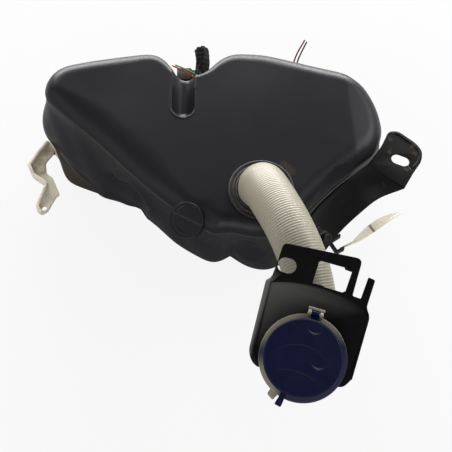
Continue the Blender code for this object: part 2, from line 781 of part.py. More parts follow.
def head_frame():
    """The head's frame: origin on the flange's top, +Z out of the mouth, +Y towards the hinge."""
    lean = Matrix.Rotation(HEAD_LEAN_FRONT, 4, "X") @ Matrix.Rotation(-HEAD_LEAN_LEFT, 4, "Y")
    return Matrix.Translation(HEAD_CENTRE) @ lean @ Matrix.Rotation(HEAD_TURN, 4, "Z")


def make_grommet():
    """Rubber ring with a groove that grips the edge of the filler port."""
    bore = NECK_ROOT_RADIUS + SEAT
    top = TANK_HEIGHT + SEAT
    under = TANK_HEIGHT - TANK_WALL - GROMMET_LIP_DROP
    lip = PORT_RADIUS + GROMMET_LIP_REACH
    groove = PORT_RADIUS - SEAT
    profile = (
        (bore, under - GROMMET_LIP_HEIGHT),
        (lip - GROMMET_LIP_TAPER, under - GROMMET_LIP_HEIGHT),
        (lip, under),
        (groove, under),
        (groove, top),
        (GROMMET_FLANGE_RADIUS, top),
        (GROMMET_FLANGE_RADIUS, top + GROMMET_RIM),
        (GROMMET_FLANGE_RADIUS - GROMMET_RIDGE_IN, top + GROMMET_RIDGE),
        (GROMMET_FLANGE_RADIUS - GROMMET_VALLEY_IN, top + GROMMET_RIM),
        (bore + GROMMET_COLLAR, top + GROMMET_FLANGE),
        (bore, top + GROMMET_FLANGE),
    )
    finish = material("grommet_rubber", (0.012, 0.011, 0.010), 0.7)
    place = Matrix.Translation((PORT_X, PORT_Y, 0))
    add_object("filler_grommet", turned(profile, 32, hollow=True), finish, place)


def make_neck():
    """Corrugated tube, head, flange, mouth and hinge ears of one moulding."""
    head = head_frame()
    route = [Vector((x, y, TANK_HEIGHT + above)) for x, y, above in NECK_ROUTE]
    route += [head @ Vector((0, 0, -z)) for z in (HEAD_STRAIGHT, HEAD_PLAIN)]
    drawn = smooth_route(route, 60)
    length = sum((b - a).length for a, b in zip(drawn, drawn[1:]))
    count = 2 * round(length / NECK_RIB_PITCH) + 1
    frames = frames_along(smooth_route(route, count))
    plain = round(NECK_PLAIN_ROOT / length * (count - 1))
    outer = []
    inner = []
    for i, frame in enumerate(frames):
        share = max(0, i - plain) / (count - 1 - plain)
        radius = NECK_ROOT_RADIUS + (NECK_HEAD_RADIUS - NECK_ROOT_RADIUS) * share
        crest = i > plain and (i - plain) % 2 == 1 and i < count - 1
        depth = 0.0 if i <= plain or crest else NECK_RIB_DEPTH
        outer.append(circle(radius - depth, 0, NECK_SIDES, frame))
        if i % 2 == 0:
            bore = radius - NECK_RIB_DEPTH - NECK_WALL
            inner.append(circle(bore, 0, NECK_SIDES, frame))
    seat = -HEAD_FLANGE - PLATE_THICKNESS + PLATE_RECESS - 2 * SEAT
    valley = NECK_HEAD_RADIUS - NECK_RIB_DEPTH
    bore = valley - NECK_WALL
    head_rings = head_frame_like(head, frames[-1])
    for radius, z in (
        (valley, seat - HEAD_BEAD - HEAD_BEAD_FOOT),
        (HEAD_BEAD_RADIUS, seat - HEAD_BEAD),
        (HEAD_BEAD_RADIUS, seat),
        (NECK_HEAD_RADIUS, seat),
        (NECK_HEAD_RADIUS, -HEAD_FLANGE),
        (HEAD_FLANGE_RADIUS, -HEAD_FLANGE),
        (HEAD_FLANGE_RADIUS, -HEAD_FLANGE_EDGE),
        (HEAD_FLANGE_RADIUS - HEAD_FLANGE_EDGE, 0),
        (MOUTH_RADIUS, 0),
        (MOUTH_RADIUS, MOUTH_HEIGHT * MOUTH_BEAD_LOW),
        (MOUTH_BEAD_RADIUS, MOUTH_HEIGHT * MOUTH_BEAD_HIGH),
        (MOUTH_RADIUS + MOUTH_LIP, MOUTH_HEIGHT),
        (bore, MOUTH_HEIGHT),
        (bore, -HEAD_FLANGE),
    ):
        outer.append(circle(radius, z, NECK_SIDES, head_rings))
    finish = material("neck_plastic", (0.51, 0.46, 0.35), 0.5)
    neck = add_object("filler_neck", loft(outer + inner[::-1], cyclic=True), finish)
    for side in (-1, 1):
        near = side * (KNUCKLE_WIDTH / 2 + SEAT)
        far = near + side * EAR_WIDTH
        low = (min(near, far), HINGE_Y - EAR_DEPTH / 2, -HEAD_FLANGE)
        high = (max(near, far), HINGE_Y + EAR_DEPTH / 2, HINGE_Z + EAR_DEPTH / 2)
        boolean(neck, add_cutter(f"ear_{side}", box(low, high), head), "UNION")
    across = Matrix.Translation((0, HINGE_Y, HINGE_Z)) @ Matrix.Rotation(math.radians(90), 4, "Y")
    radius = HINGE_PIN_RADIUS + SEAT
    reach = KNUCKLE_WIDTH + EAR_WIDTH
    hole = turned(((radius, -reach), (radius, reach)), 12)
    boolean(neck, add_cutter("ear_holes", hole, head @ across))


def head_frame_like(head, last):
    """The head's frame turned about its axis so that its X lies nearest the last frame's X."""
    side = head.inverted().to_3x3() @ last.to_3x3() @ Vector((1, 0, 0))
    return head @ Matrix.Rotation(math.atan2(side.y, side.x), 4, "Z")


def make_cap():
    """Cap, its seal and the hinge pin. The cap's origin lies on the hinge's axis."""
    head = head_frame()
    hinge = head @ Matrix.Translation((0, HINGE_Y, HINGE_Z))
    back = Matrix.Translation((0, -HINGE_Y, -HINGE_Z))
    under = MOUTH_HEIGHT + 2 * SEAT + SEAL_HEIGHT
    top = under + CAP_WALL
    inside = CAP_RADIUS - CAP_WALL
    edge_in, edge_up = CAP_SKIRT_EDGE
    profile = (
        (CAP_RADIUS - edge_in, CAP_LIFT),
        (CAP_RADIUS, CAP_LIFT + edge_up),
        (CAP_RADIUS, top - CAP_EDGE),
        (CAP_RADIUS - CAP_EDGE * 0.3, top - CAP_EDGE * 0.3),
        (CAP_RADIUS - CAP_EDGE, top),
    )
    finish = material("cap_plastic", (0.008, 0.012, 0.085), 0.35)
    cap = add_object("filler_cap", turned(profile, 36), finish, hinge)
    cap.data.transform(back)
    hollow = turned(((inside, CAP_LIFT - CUT), (inside, under)), 36)
    boolean(cap, add_cutter("cap_hollow", hollow, head))

    half = KNUCKLE_WIDTH / 2
    inner_face = inside + CAP_CLEARANCE
    low = (-half, inner_face, HINGE_Z - HINGE_ARM)
    boolean(cap, add_cutter("knuckle_arm", box(low, (half, HINGE_Y, HINGE_Z + HINGE_ARM)), head), "UNION")
    along = Matrix.Translation((0, HINGE_Y, HINGE_Z)) @ Matrix.Rotation(math.radians(90), 4, "Y")
    knuckle = turned(((KNUCKLE_RADIUS, -half), (KNUCKLE_RADIUS, half)), 16)
    boolean(cap, add_cutter("knuckle", knuckle, head @ along), "UNION")
    radius = HINGE_PIN_RADIUS + SEAT
    bore = turned(((radius, -KNUCKLE_WIDTH), (radius, KNUCKLE_WIDTH)), 12)
    boolean(cap, add_cutter("knuckle_bore", bore, head @ along))
    low = (inner_face, -TAB_WIDTH / 2, CAP_LIFT + TAB_RAISE)
    tab = box(low, (TAB_REACH, TAB_WIDTH / 2, top - CAP_EDGE))
    boolean(cap, add_cutter("finger_tab", tab, head @ Matrix.Rotation(TAB_ANGLE, 4, "Z")), "UNION")

    low = MOUTH_HEIGHT + SEAT
    high = low + SEAL_HEIGHT
    inner = NECK_HEAD_RADIUS - NECK_RIB_DEPTH - NECK_WALL
    outer = MOUTH_BEAD_RADIUS - SEAT
    ring = turned(((inner, low), (outer, low), (outer, high), (inner, high)), 28, hollow=True)
    add_object("cap_seal", ring, material("seal_rubber", (0.02, 0.02, 0.02), 0.8), head)
    pin_half = half + EAR_WIDTH + SEAT
    pin = turned(((HINGE_PIN_RADIUS, -pin_half), (HINGE_PIN_RADIUS, pin_half)), 12)
    add_object("hinge_pin", pin, material("pin_steel", (0.5, 0.5, 0.5), 0.35, 1.0), head @ along)


def ribbon(route, left, right):
    """Plan outline of a strip that runs along a route, with its widths to both sides."""
    points = [Vector(point) for point in route]
    runs = [(b - a).normalized() for a, b in zip(points, points[1:])]
    sides = ([], [])
    for i, point in enumerate(points):
        ahead = runs[min(i, len(runs) - 1)]
        behind = runs[max(i - 1, 0)]
        tangent = (ahead + behind).normalized()
        normal = Vector((-tangent.y, tangent.x))
        mitre = normal / max(tangent.dot(ahead), 0.5)
        sides[0].append(tuple(point + mitre * left))
        sides[1].append(tuple(point - mitre * right))
    return sides[0] + sides[1][::-1]


def make_plate():
    """Bracket plate round the neck: outline, recess, cut-out, hole, window and side skirts."""
    head = head_frame()
    top = -HEAD_FLANGE - SEAT + PLATE_RECESS
    low = top - PLATE_THICKNESS
    finish = material("plate_plastic", (0.010, 0.011, 0.012), 0.5)
    shape = prism(rounded(PLATE_OUTLINE, PLATE_CORNER, 2), low, top)
    plate = add_object("neck_bracket", shape, finish, head)
    for name, edge in (("left_skirt", PLATE_SKIRT_LEFT), ("right_skirt", PLATE_SKIRT_RIGHT)):
        strip = prism(ribbon(edge, 0.0, PLATE_SKIRT_WALL), top - PLATE_SKIRT, top - PLATE_SKIRT_DROP)
        boolean(plate, add_cutter(name, strip, head), "UNION")
    recess = turned(((PLATE_RECESS_RADIUS, top - PLATE_RECESS), (PLATE_RECESS_RADIUS, top + CUT)), 40)
    boolean(plate, add_cutter("plate_recess", recess, head))
    slot_width = 2 * (NECK_HEAD_RADIUS + 2 * SEAT)
    slot = prism(capsule(PLATE_SLOT_LENGTH, slot_width, 12), low - CUT, top + CUT)
    quarter = Matrix.Rotation(math.radians(90), 4, "Z")
    place = Matrix.Translation((0, slot_width / 2 - PLATE_SLOT_LENGTH / 2, 0)) @ quarter
    boolean(plate, add_cutter("neck_slot", slot, head @ place))
    hole = prism(capsule(*PLATE_HOLE_SIZE, 6), low - CUT, top + CUT)
    place = Matrix.Translation((*PLATE_HOLE_CENTRE, 0))
    boolean(plate, add_cutter("plate_hole", hole, head @ place))
    corners = (
        PLATE_WINDOW_LOW,
        (PLATE_WINDOW_HIGH[0], PLATE_WINDOW_LOW[1]),
        PLATE_WINDOW_HIGH,
        (PLATE_WINDOW_LOW[0], PLATE_WINDOW_HIGH[1]),
    )
    window = prism(rounded(corners, PLATE_WINDOW_CORNER, 2), low - CUT, top + CUT)
    boolean(plate, add_cutter("plate_window", window, head))


def make_steel_bracket():
    """Slotted tab and bent arm pressed from one sheet."""
    bm = bmesh.new()
    rows = []
    for row in range(ARM_ROWS + 1):
        steps = range(ARM_COLUMNS + 1)
        rows.append([bm.verts.new(arm_point(row / ARM_ROWS, i / ARM_COLUMNS)) for i in steps])
    for near, far in zip(rows, rows[1:]):
        for i in range(ARM_COLUMNS):
            bm.faces.new((near[i], near[i + 1], far[i + 1], far[i]))
    outline = rounded([point[:2] for point in TAB_OUTLINE], TAB_CORNER, 3)
    tab = [bm.verts.new((x, y, TAB_Z)) for x, y in outline]
    bm.faces.new(rows[0] + tab)
    finish = material("bracket_steel", (0.035, 0.034, 0.033), 0.55, 0.3)
    bracket = add_object("steel_bracket", bm, finish)
    solidify = bracket.modifiers.new("sheet", "SOLIDIFY")
    solidify.thickness = STEEL
    solidify.offset = 0
    solidify.use_even_offset = True
    slot = prism(capsule(SLOT_LENGTH, SLOT_WIDTH, 8), TAB_Z - CUT, TAB_Z + CUT)
    place = Matrix.Translation((*SLOT_CENTRE, 0)) @ Matrix.Rotation(SLOT_TURN, 4, "Z")
    boolean(bracket, add_cutter("bracket_slot", slot, place))
    for number, across in enumerate(BOLT_ACROSS):
        frame = arm_frame(BOLT_SHARE, across)
        pad = turned(((ARM_PAD_RADIUS, -ARM_PAD / 2), (ARM_PAD_RADIUS, ARM_PAD / 2)), 18)
        boolean(bracket, add_cutter(f"bolt_pad_{number}", pad, frame), "UNION")
        radius = BOLT_RADIUS + SEAT
        hole = turned(((radius, -ARM_PAD), (radius, ARM_PAD)), 14)
        boolean(bracket, add_cutter(f"bolt_hole_{number}", hole, frame))
    bolt_finish = material("bolt_steel", (0.30, 0.27, 0.22), 0.45, 1.0)
    for name, across in zip(("bracket_bolt_upper", "bracket_bolt_lower"), BOLT_ACROSS):
        seat = ARM_PAD / 2 + SEAT
        profile = (
            (BOLT_RADIUS, -ARM_PAD / 2 - BOLT_LENGTH),
            (BOLT_RADIUS, seat),
            (BOLT_FLANGE_RADIUS, seat),
            (BOLT_FLANGE_RADIUS, seat + BOLT_FLANGE),
        )
        made = add_object(name, turned(profile, 12), bolt_finish, arm_frame(BOLT_SHARE, across))
        top = seat + BOLT_FLANGE + BOLT_HEAD
        hexagon = turned(((BOLT_HEAD_RADIUS, seat + BOLT_FLANGE / 2), (BOLT_HEAD_RADIUS, top)), 6)
        boolean(made, add_cutter(name + "_hexagon", hexagon, made.matrix_world.copy()), "UNION")


def make_clip_and_strap():
    """Spring clip under the arm's lower edge and the strap tail it holds."""
    outline = ribbon(CLIP_ROUTE, CLIP_THICKNESS / 2, CLIP_THICKNESS / 2)
    clip = prism(outline, CLIP_Z, CLIP_Z + CLIP_HEIGHT)
    add_object("harness_clip", clip, material("clip_plastic", (0.012, 0.012, 0.013), 0.5))
    centre = [Vector((x, y, TAB_Z - below)) for x, y, below in STRAP_ROUTE]
    rings = []
    for frame, width, twist in zip(frames_along(centre), STRAP_WIDTHS, STRAP_TWIST):
        level = Vector((0, 0, 1)).cross(frame.to_3x3() @ Vector((0, 0, 1))).normalized()
        tangent = (frame.to_3x3() @ Vector((0, 0, 1))).normalized()
        wide = Matrix.Rotation(math.radians(twist), 3, tangent) @ level
        thin = tangent.cross(wide)
        origin = frame.translation
        w = wide * width / 2
        t = thin * STRAP_THICKNESS / 2
        rings.append([origin + w + t, origin - w + t, origin - w - t, origin + w - t])
    add_object("tie_strap", loft(rings), material("strap_nylon", (0.60, 0.57, 0.45), 0.5))


def make_side_arm():
    """White zigzag arm: floor, raised outer border, foot and end hole."""
    outline = list(SIDE_ARM_OUTER) + list(SIDE_ARM_INNER)[::-1]
    finish = material("arm_plastic", (0.50, 0.46, 0.38), 0.55)
    top = SIDE_ARM_Z + SIDE_ARM_FLOOR
    arm = add_object("side_arm", prism(rounded(outline, SIDE_ARM_CORNER, 2), SIDE_ARM_Z, top), finish)
    border = ribbon(SIDE_ARM_OUTER, SIDE_ARM_BORDER_WALL, -SIDE_ARM_SKEW)
    rim = prism(border, SIDE_ARM_Z + SIDE_ARM_SKEW, SIDE_ARM_Z + SIDE_ARM_BORDER)
    boolean(arm, add_cutter("arm_border", rim), "UNION")
    frame = side_pad_frame()
    width, below, thickness = SIDE_FOOT
    above = top - SIDE_PAD_CENTRE[2]
    foot = box((-width / 2, -below, SEAT), (width / 2, above, SEAT + thickness))
    boolean(arm, add_cutter("arm_foot", foot, frame), "UNION")
    radius = SIDE_SCREW_RADIUS + SEAT
    hole = turned(((radius, -CUT / 2), (radius, CUT)), 14)
    boolean(arm, add_cutter("foot_hole", hole, frame))
    end = turned(((SIDE_ARM_HOLE_RADIUS, SIDE_ARM_Z - CUT), (SIDE_ARM_HOLE_RADIUS, top + CUT)), 14)
    boolean(arm, add_cutter("end_hole", end, Matrix.Translation((*SIDE_ARM_HOLE, 0))))
    seat = 2 * SEAT + thickness
    screw = turned(
        (
            (SIDE_SCREW_RADIUS, -SIDE_SCREW_LENGTH),
            (SIDE_SCREW_RADIUS, seat),
            (SIDE_SCREW_HEAD_RADIUS, seat),
            (SIDE_SCREW_HEAD_RADIUS, seat + SIDE_SCREW_HEAD * 0.5),
            (SIDE_SCREW_HEAD_RADIUS * SIDE_SCREW_CROWN, seat + SIDE_SCREW_HEAD),
        ),
        14,
    )
    add_object("side_arm_screw", screw, material("screw_steel", (0.42, 0.40, 0.36), 0.4, 1.0), frame)


def make_pump():
    """Pump housing, cover, impeller, shaft, motor, plug, grommet and strainer."""
    centre_y = NOTCH_WALL_Y + SEAT + PUMP_GROMMET_FLANGE + SEAT + PUMP_RADIUS
    place = Matrix.Translation((PUMP_X, centre_y, 0))
    black = material("pump_plastic", (0.020, 0.019, 0.018), 0.5)
    chamber = PUMP_RADIUS - PUMP_WALL
    deck = PUMP_CHAMBER_TOP
    bore = PUMP_SHAFT_RADIUS + SEAT
    floor = PUMP_BASE_Z + PUMP_COVER + SEAT
    body = ((PUMP_RADIUS, floor), (PUMP_RADIUS, deck + PUMP_DECK))
    housing = add_object("pump_housing", turned(body, 24), black, place)
    to_tank = place @ Matrix.Translation((0, 0, PUMP_PORT_Z)) @ Matrix.Rotation(math.radians(90), 4, "X")
    reach = centre_y - NOTCH_WALL_Y + TANK_WALL + NOTCH_PAD + PUMP_NIPPLE_REACH
    nipple = turned(((PUMP_NIPPLE_RADIUS, 0), (PUMP_NIPPLE_RADIUS, reach)), 16)
    boolean(housing, add_cutter("pump_nipple", nipple, to_tank), "UNION")
    outlet = place @ Matrix.Translation((0, 0, PUMP_PORT_Z)) @ Matrix.Rotation(math.radians(90), 4, "Y")
    spout_end = PUMP_RADIUS + PUMP_SPOUT_REACH
    barb = spout_end - PUMP_SPOUT_BARB_LENGTH
    spout = turned(
        (
            (PUMP_SPOUT_RADIUS, 0),
            (PUMP_SPOUT_RADIUS, barb - PUMP_SPOUT_BARB),
            (PUMP_SPOUT_RADIUS + PUMP_SPOUT_BARB, barb),
            (PUMP_SPOUT_RADIUS - PUMP_SPOUT_BARB, spout_end),
        ),
        14,
    )
    boolean(housing, add_cutter("pump_spout", spout, outlet), "UNION")
    hollow = turned(((chamber, floor - CUT), (chamber, deck)), 24)
    boolean(housing, add_cutter("pump_chamber", hollow, place))
    on_deck = place @ Matrix.Translation((0, 0, deck - CUT / 2))
    for name, frame, radius, length in (
        ("nipple_bore", to_tank, PUMP_BORE_RADIUS, reach + CUT),
        ("spout_bore", outlet, PUMP_SPOUT_BORE, spout_end + CUT),
        ("shaft_bore", on_deck, bore, PUMP_DECK + CUT),
    ):
        boolean(housing, add_cutter(name, turned(((radius, 0), (radius, length)), 12), frame))
    cover = turned(((PUMP_RADIUS, PUMP_BASE_Z), (PUMP_RADIUS, PUMP_BASE_Z + PUMP_COVER)), 24)
    add_object("pump_cover", cover, black, place)

    vane_low = floor + IMPELLER_CLEARANCE
    vane_high = PUMP_CHAMBER_TOP - IMPELLER_CLEARANCE
    impeller_material = material("impeller_plastic", (0.55, 0.53, 0.46), 0.4)
    hub = turned(((IMPELLER_HUB_RADIUS, vane_low), (IMPELLER_HUB_RADIUS, vane_high)), 16)
    impeller = add_object("pump_impeller", hub, impeller_material, place)
    tip = chamber - IMPELLER_CLEARANCE
    half = VANE_THICKNESS / 2
    for number in range(IMPELLER_VANES):
        vane = box((VANE_ROOT, -half, vane_low + half), (tip, half, vane_high - IMPELLER_DISC))
        turn = Matrix.Rotation(2 * math.pi * number / IMPELLER_VANES, 4, "Z")
        boolean(impeller, add_cutter(f"vane_{number}", vane, place @ turn), "UNION")
    disc = turned(((tip, vane_low), (tip, vane_low + IMPELLER_DISC)), 24)
    boolean(impeller, add_cutter("impeller_disc", disc, place), "UNION")
    hub_bore = turned(((bore, vane_low - CUT), (bore, vane_high + CUT)), 12)
    boolean(impeller, add_cutter("impeller_bore", hub_bore, place))

    motor_low = deck + PUMP_DECK + SEAT
    shaft_low = vane_low + PUMP_SHAFT_RADIUS / 2
    shaft_top = motor_low + PUMP_SHAFT_IN_MOTOR
    shaft = turned(((PUMP_SHAFT_RADIUS, shaft_low), (PUMP_SHAFT_RADIUS, shaft_top)), 12)
    add_object("pump_shaft", shaft, material("shaft_steel", (0.6, 0.6, 0.6), 0.3, 1.0), place)
    can = PUMP_RADIUS - PUMP_CAN_STEP
    rim_low = PUMP_MOTOR_TOP - PUMP_RIM
    profile = (
        (can, motor_low),
        (can, rim_low),
        (PUMP_RADIUS, rim_low + SEAT),
        (PUMP_RADIUS, PUMP_MOTOR_TOP - PUMP_RIM_EDGE),
        (can, PUMP_MOTOR_TOP),
    )
    motor = add_object("pump_motor", turned(profile, 24), black, place)
    blind = turned(((bore, motor_low - CUT), (bore, shaft_top + SEAT)), 12)
    boolean(motor, add_cutter("motor_bore", blind, place))
    width, depth, height = PLUG_SIZE
    plug_low = PUMP_MOTOR_TOP + SEAT
    low = (PLUG_SHIFT - width / 2, -depth / 2, plug_low)
    plug = box(low, (PLUG_SHIFT + width / 2, depth / 2, plug_low + height))
    plug_finish = material("plug_plastic", (0.16, 0.12, 0.08), 0.8)
    plug_object = add_object("pump_plug", plug, plug_finish, place)
    bevel = plug_object.modifiers.new("edges", "BEVEL")
    bevel.width = PLUG_EDGE
    bevel.segments = 2

    port = pump_port_frame()
    inner = PUMP_NIPPLE_RADIUS + SEAT
    wall_out = SEAT
    wall_in = -TANK_WALL - NOTCH_PAD - SEAT
    lip = PUMP_PORT_HOLE + PUMP_GROMMET_LIP_REACH
    ring = (
        (inner, wall_in - PUMP_GROMMET_LIP),
        (PUMP_PORT_HOLE, wall_in - PUMP_GROMMET_LIP),
        (lip, wall_in),
        (PUMP_PORT_HOLE - SEAT, wall_in),
        (PUMP_PORT_HOLE - SEAT, wall_out),
        (PUMP_GROMMET_RADIUS, wall_out),
        (PUMP_GROMMET_RADIUS, wall_out + PUMP_GROMMET_FLANGE),
        (inner, wall_out + PUMP_GROMMET_FLANGE),
    )
    rubber = material("pump_rubber", (0.02, 0.02, 0.02), 0.8)
    add_object("pump_grommet", turned(ring, 20, hollow=True), rubber, port)
    mouth = centre_y - NOTCH_WALL_Y - reach
    strainer_profile = (
        (inner, mouth + STRAINER_SLEEVE),
        (inner + STRAINER_WALL, mouth + STRAINER_SLEEVE),
        (inner + STRAINER_WALL, mouth - STRAINER_LENGTH + STRAINER_TIP_RADIUS),
        (STRAINER_TIP_RADIUS, mouth - STRAINER_LENGTH),
        (STRAINER_TIP_RADIUS, mouth - STRAINER_LENGTH + STRAINER_WALL),
        (inner, mouth - STRAINER_LENGTH + STRAINER_SLEEVE),
    )
    strainer = turned(strainer_profile, 16, hollow=True)
    add_object("pump_strainer", strainer, material("strainer_mesh", (0.5, 0.5, 0.45), 0.5), port)


def make_sensor():
    """Level sensor: grommet, body with its clevis, pin, float and plug."""
    frame = sensor_frame()
    flange = SENSOR_FLANGE_THICKNESS
    inner = SENSOR_HOLE - SENSOR_BORE_WALL
    lip = SENSOR_HOLE + SENSOR_LIP_REACH
    ring = (
        (inner, -TANK_WALL - SENSOR_LIP),
        (SENSOR_HOLE, -TANK_WALL - SENSOR_LIP),
        (lip, -TANK_WALL - SEAT),
        (SENSOR_HOLE - SEAT, -TANK_WALL - SEAT),
        (SENSOR_HOLE - SEAT, SEAT),
        (SENSOR_FLANGE, SEAT),
        (SENSOR_FLANGE, SEAT + flange),
        (inner, SEAT + flange),
    )
    rubber = material("sensor_rubber", (0.02, 0.02, 0.02), 0.8)
    add_object("sensor_grommet", turned(ring, 22, hollow=True), rubber, frame)
    seat = 2 * SEAT + flange
    head_radius = SENSOR_FLANGE - SENSOR_HEAD_EDGE
    body_profile = (
        (SENSOR_STEM_RADIUS, -SENSOR_STEM_END),
        (SENSOR_STEM_RADIUS, -SENSOR_STEM_STEP - SEAT),
        (inner - SEAT, -SENSOR_STEM_STEP),
        (inner - SEAT, seat),
        (SENSOR_FLANGE, seat),
        (SENSOR_FLANGE, seat + SENSOR_HEAD_EDGE),
        (head_radius, seat + SENSOR_HEAD - 2 * SENSOR_HEAD_EDGE + flange),
        (head_radius, seat + SENSOR_HEAD),
    )
    grey = material("sensor_plastic", (0.03, 0.03, 0.03), 0.5)
    body = add_object("sensor_body", turned(body_profile, 22), grey, frame)
    pivot = -SENSOR_PIVOT
    near = CLEVIS_GAP / 2
    far = near + CLEVIS_WALL
    half_height = CLEVIS_HEIGHT / 2
    for side in (-1, 1):
        low = (min(side * near, side * far), -half_height, pivot - CLEVIS_OVER)
        high = (max(side * near, side * far), half_height, -CLEVIS_ROOT)
        boolean(body, add_cutter(f"clevis_{side}", box(low, high), frame), "UNION")
    across = frame @ Matrix.Translation((0, 0, pivot)) @ Matrix.Rotation(math.radians(90), 4, "Y")
    pin_bore = SENSOR_PIN_RADIUS + SEAT
    hole = turned(((pin_bore, -SENSOR_PIN_LENGTH), (pin_bore, SENSOR_PIN_LENGTH)), 12)
    boolean(body, add_cutter("clevis_holes", hole, across))
    half_pin = SENSOR_PIN_LENGTH / 2
    pin = turned(((SENSOR_PIN_RADIUS, -half_pin), (SENSOR_PIN_RADIUS, half_pin)), 12)
    add_object("sensor_pin", pin, material("sensor_steel", (0.6, 0.6, 0.6), 0.3, 1.0), across)

    swing = frame @ Matrix.Translation((0, 0, pivot)) @ Matrix.Rotation(FLOAT_REST, 4, "X")
    down = Matrix.Rotation(math.radians(180), 4, "Y")
    half = FLOAT_LENGTH / 2
    half_width, half_depth = (size / 2 for size in FLOAT_LEVER)
    lever_end = FLOAT_ARM - half + FLOAT_EDGE
    lever = box((-half_width, -half_depth, -half_width), (half_width, half_depth, lever_end))
    white = material("float_foam", (0.72, 0.70, 0.62), 0.6)
    arm = add_object("sensor_float", lever, white, swing @ down)
    shape = turned(
        (
            (FLOAT_RADIUS - FLOAT_EDGE, FLOAT_ARM - half),
            (FLOAT_RADIUS, FLOAT_ARM - half + FLOAT_EDGE),
            (FLOAT_RADIUS, FLOAT_ARM + half - FLOAT_EDGE),
            (FLOAT_RADIUS - FLOAT_EDGE, FLOAT_ARM + half),
        ),
        18,
    )
    boolean(arm, add_cutter("float_drum", shape, swing @ down), "UNION")
    eye = turned(((pin_bore, -SENSOR_PIN_LENGTH), (pin_bore, SENSOR_PIN_LENGTH)), 12)
    boolean(arm, add_cutter("float_eye", eye, across))

    width, height, depth = SENSOR_PLUG
    plug_low = seat + SENSOR_HEAD + SEAT
    low = (-width / 2, -SENSOR_PLUG_BELOW, plug_low)
    plug = box(low, (width / 2, height - SENSOR_PLUG_BELOW, plug_low + depth))
    plug_finish = material("sensor_plug_plastic", (0.05, 0.05, 0.05), 0.6)
    add_object("sensor_plug", plug, plug_finish, frame)


def make_cord(name, route, radius, colour, roughness, step, sides):
    """A cord as a bevelled curve through evenly spaced points of its smooth route."""
    length = sum((Vector(b) - Vector(a)).length for a, b in zip(route, route[1:]))
    points = smooth_route(route, max(4, round(length / step)))
    curve = bpy.data.curves.new(name, "CURVE")
    curve.dimensions = "3D"
    curve.bevel_depth = radius
    curve.bevel_resolution = sides
    curve.use_fill_caps = True
    spline = curve.splines.new("POLY")
    spline.points.add(len(points) - 1)
    for knot, point in zip(spline.points, points):
        knot.co = (*point, 1.0)
    curve.materials.append(material(name + "_skin", colour, roughness))
    made = bpy.data.objects.new(name, curve)
    bpy.context.collection.objects.link(made)


def make_cords():
    black = (0.015, 0.015, 0.016)
    make_cord("harness_sleeve", SLEEVE_ROUTE, SLEEVE_RADIUS, black, 0.5, SLEEVE_STEP, SLEEVE_SIDES)
    for name, route, colour in (
        ("wire_orange", WIRE_ORANGE_ROUTE, (0.60, 0.10, 0.02)),
        ("wire_green", WIRE_GREEN_ROUTE, (0.05, 0.22, 0.06)),
        ("wire_red", WIRE_RED_ROUTE, (0.30, 0.02, 0.02)),
        ("wire_black", WIRE_BLACK_ROUTE, (0.03, 0.03, 0.03)),
    ):
        make_cord(name, route, WIRE_RADIUS, colour, 0.5, WIRE_STEP, WIRE_SIDES)


ARM_EDGES = [
    smooth_route([(x, y, TAB_Z - below) for x, y, below in edge], ARM_STEPS + 1)
    for edge in (ARM_UPPER_EDGE, ARM_LOWER_EDGE)
]

for existing in list(bpy.data.objects):
    bpy.data.objects.remove(existing, do_unlink=True)

make_tank()
make_grommet()
make_neck()
make_cap()
make_plate()
make_steel_bracket()
make_clip_and_strap()
make_side_arm()
make_pump()
make_sensor()
make_cords()
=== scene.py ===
import math

import bmesh
import bpy
import numpy as np
from mathutils import Matrix, Vector
from mathutils.geometry import tessellate_polygon


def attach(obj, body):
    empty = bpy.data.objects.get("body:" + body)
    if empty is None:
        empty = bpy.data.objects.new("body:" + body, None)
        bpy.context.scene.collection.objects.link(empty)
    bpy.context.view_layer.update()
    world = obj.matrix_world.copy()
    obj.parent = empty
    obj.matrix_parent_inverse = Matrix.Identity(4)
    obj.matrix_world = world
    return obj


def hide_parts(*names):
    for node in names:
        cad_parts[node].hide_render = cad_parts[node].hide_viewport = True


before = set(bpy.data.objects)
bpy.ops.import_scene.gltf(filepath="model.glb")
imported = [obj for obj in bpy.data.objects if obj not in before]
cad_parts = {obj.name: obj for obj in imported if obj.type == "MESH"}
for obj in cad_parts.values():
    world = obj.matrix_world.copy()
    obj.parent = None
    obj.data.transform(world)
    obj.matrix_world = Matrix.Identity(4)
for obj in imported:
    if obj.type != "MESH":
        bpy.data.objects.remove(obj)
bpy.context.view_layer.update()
scene = bpy.context.scene
scene.view_settings.view_transform = "Standard"

# The studio: the tank stands on a pale floor between four soft boxes, of which the long low one behind it is
# the strongest. The camera looks down over the cap at 65 degrees.
camera = bpy.data.objects.new("camera", bpy.data.cameras.new("camera"))
camera.location = (0.0190, -0.4352, 0.8884)
camera.rotation_euler = (math.radians(25), 0, 0)
camera.data.sensor_width = 36
camera.data.lens = 36 * 935 / 452
scene.collection.objects.link(camera)
scene.camera = camera


def soft_box(name, place, target, size, watts):
    """A square area lamp at a place, turned so that it shines at the target."""
    lamp = bpy.data.lights.new(name, "AREA")
    lamp.shape = "RECTANGLE"
    lamp.size, lamp.size_y = size
    lamp.energy = watts
    made = bpy.data.objects.new(name, lamp)
    made.location = place
    made.rotation_euler = (Vector(target) - Vector(place)).to_track_quat("-Z", "Y").to_euler()
    scene.collection.objects.link(made)


soft_box("lamp_above", (1.25, 0.45, 0.90), (0, 0, 0.1), (1.0, 0.9), 14)
soft_box("lamp_behind", (-0.10, 1.30, 0.36), (0, 0, 0.1), (1.9, 0.5), 48)
soft_box("lamp_left", (-1.3, -0.4, 0.8), (-0.1, 0, 0.1), (1.2, 1.0), 4)
soft_box("lamp_front", (-0.2, -1.3, 0.8), (0, -0.1, 0.1), (0.8, 0.6), 6)


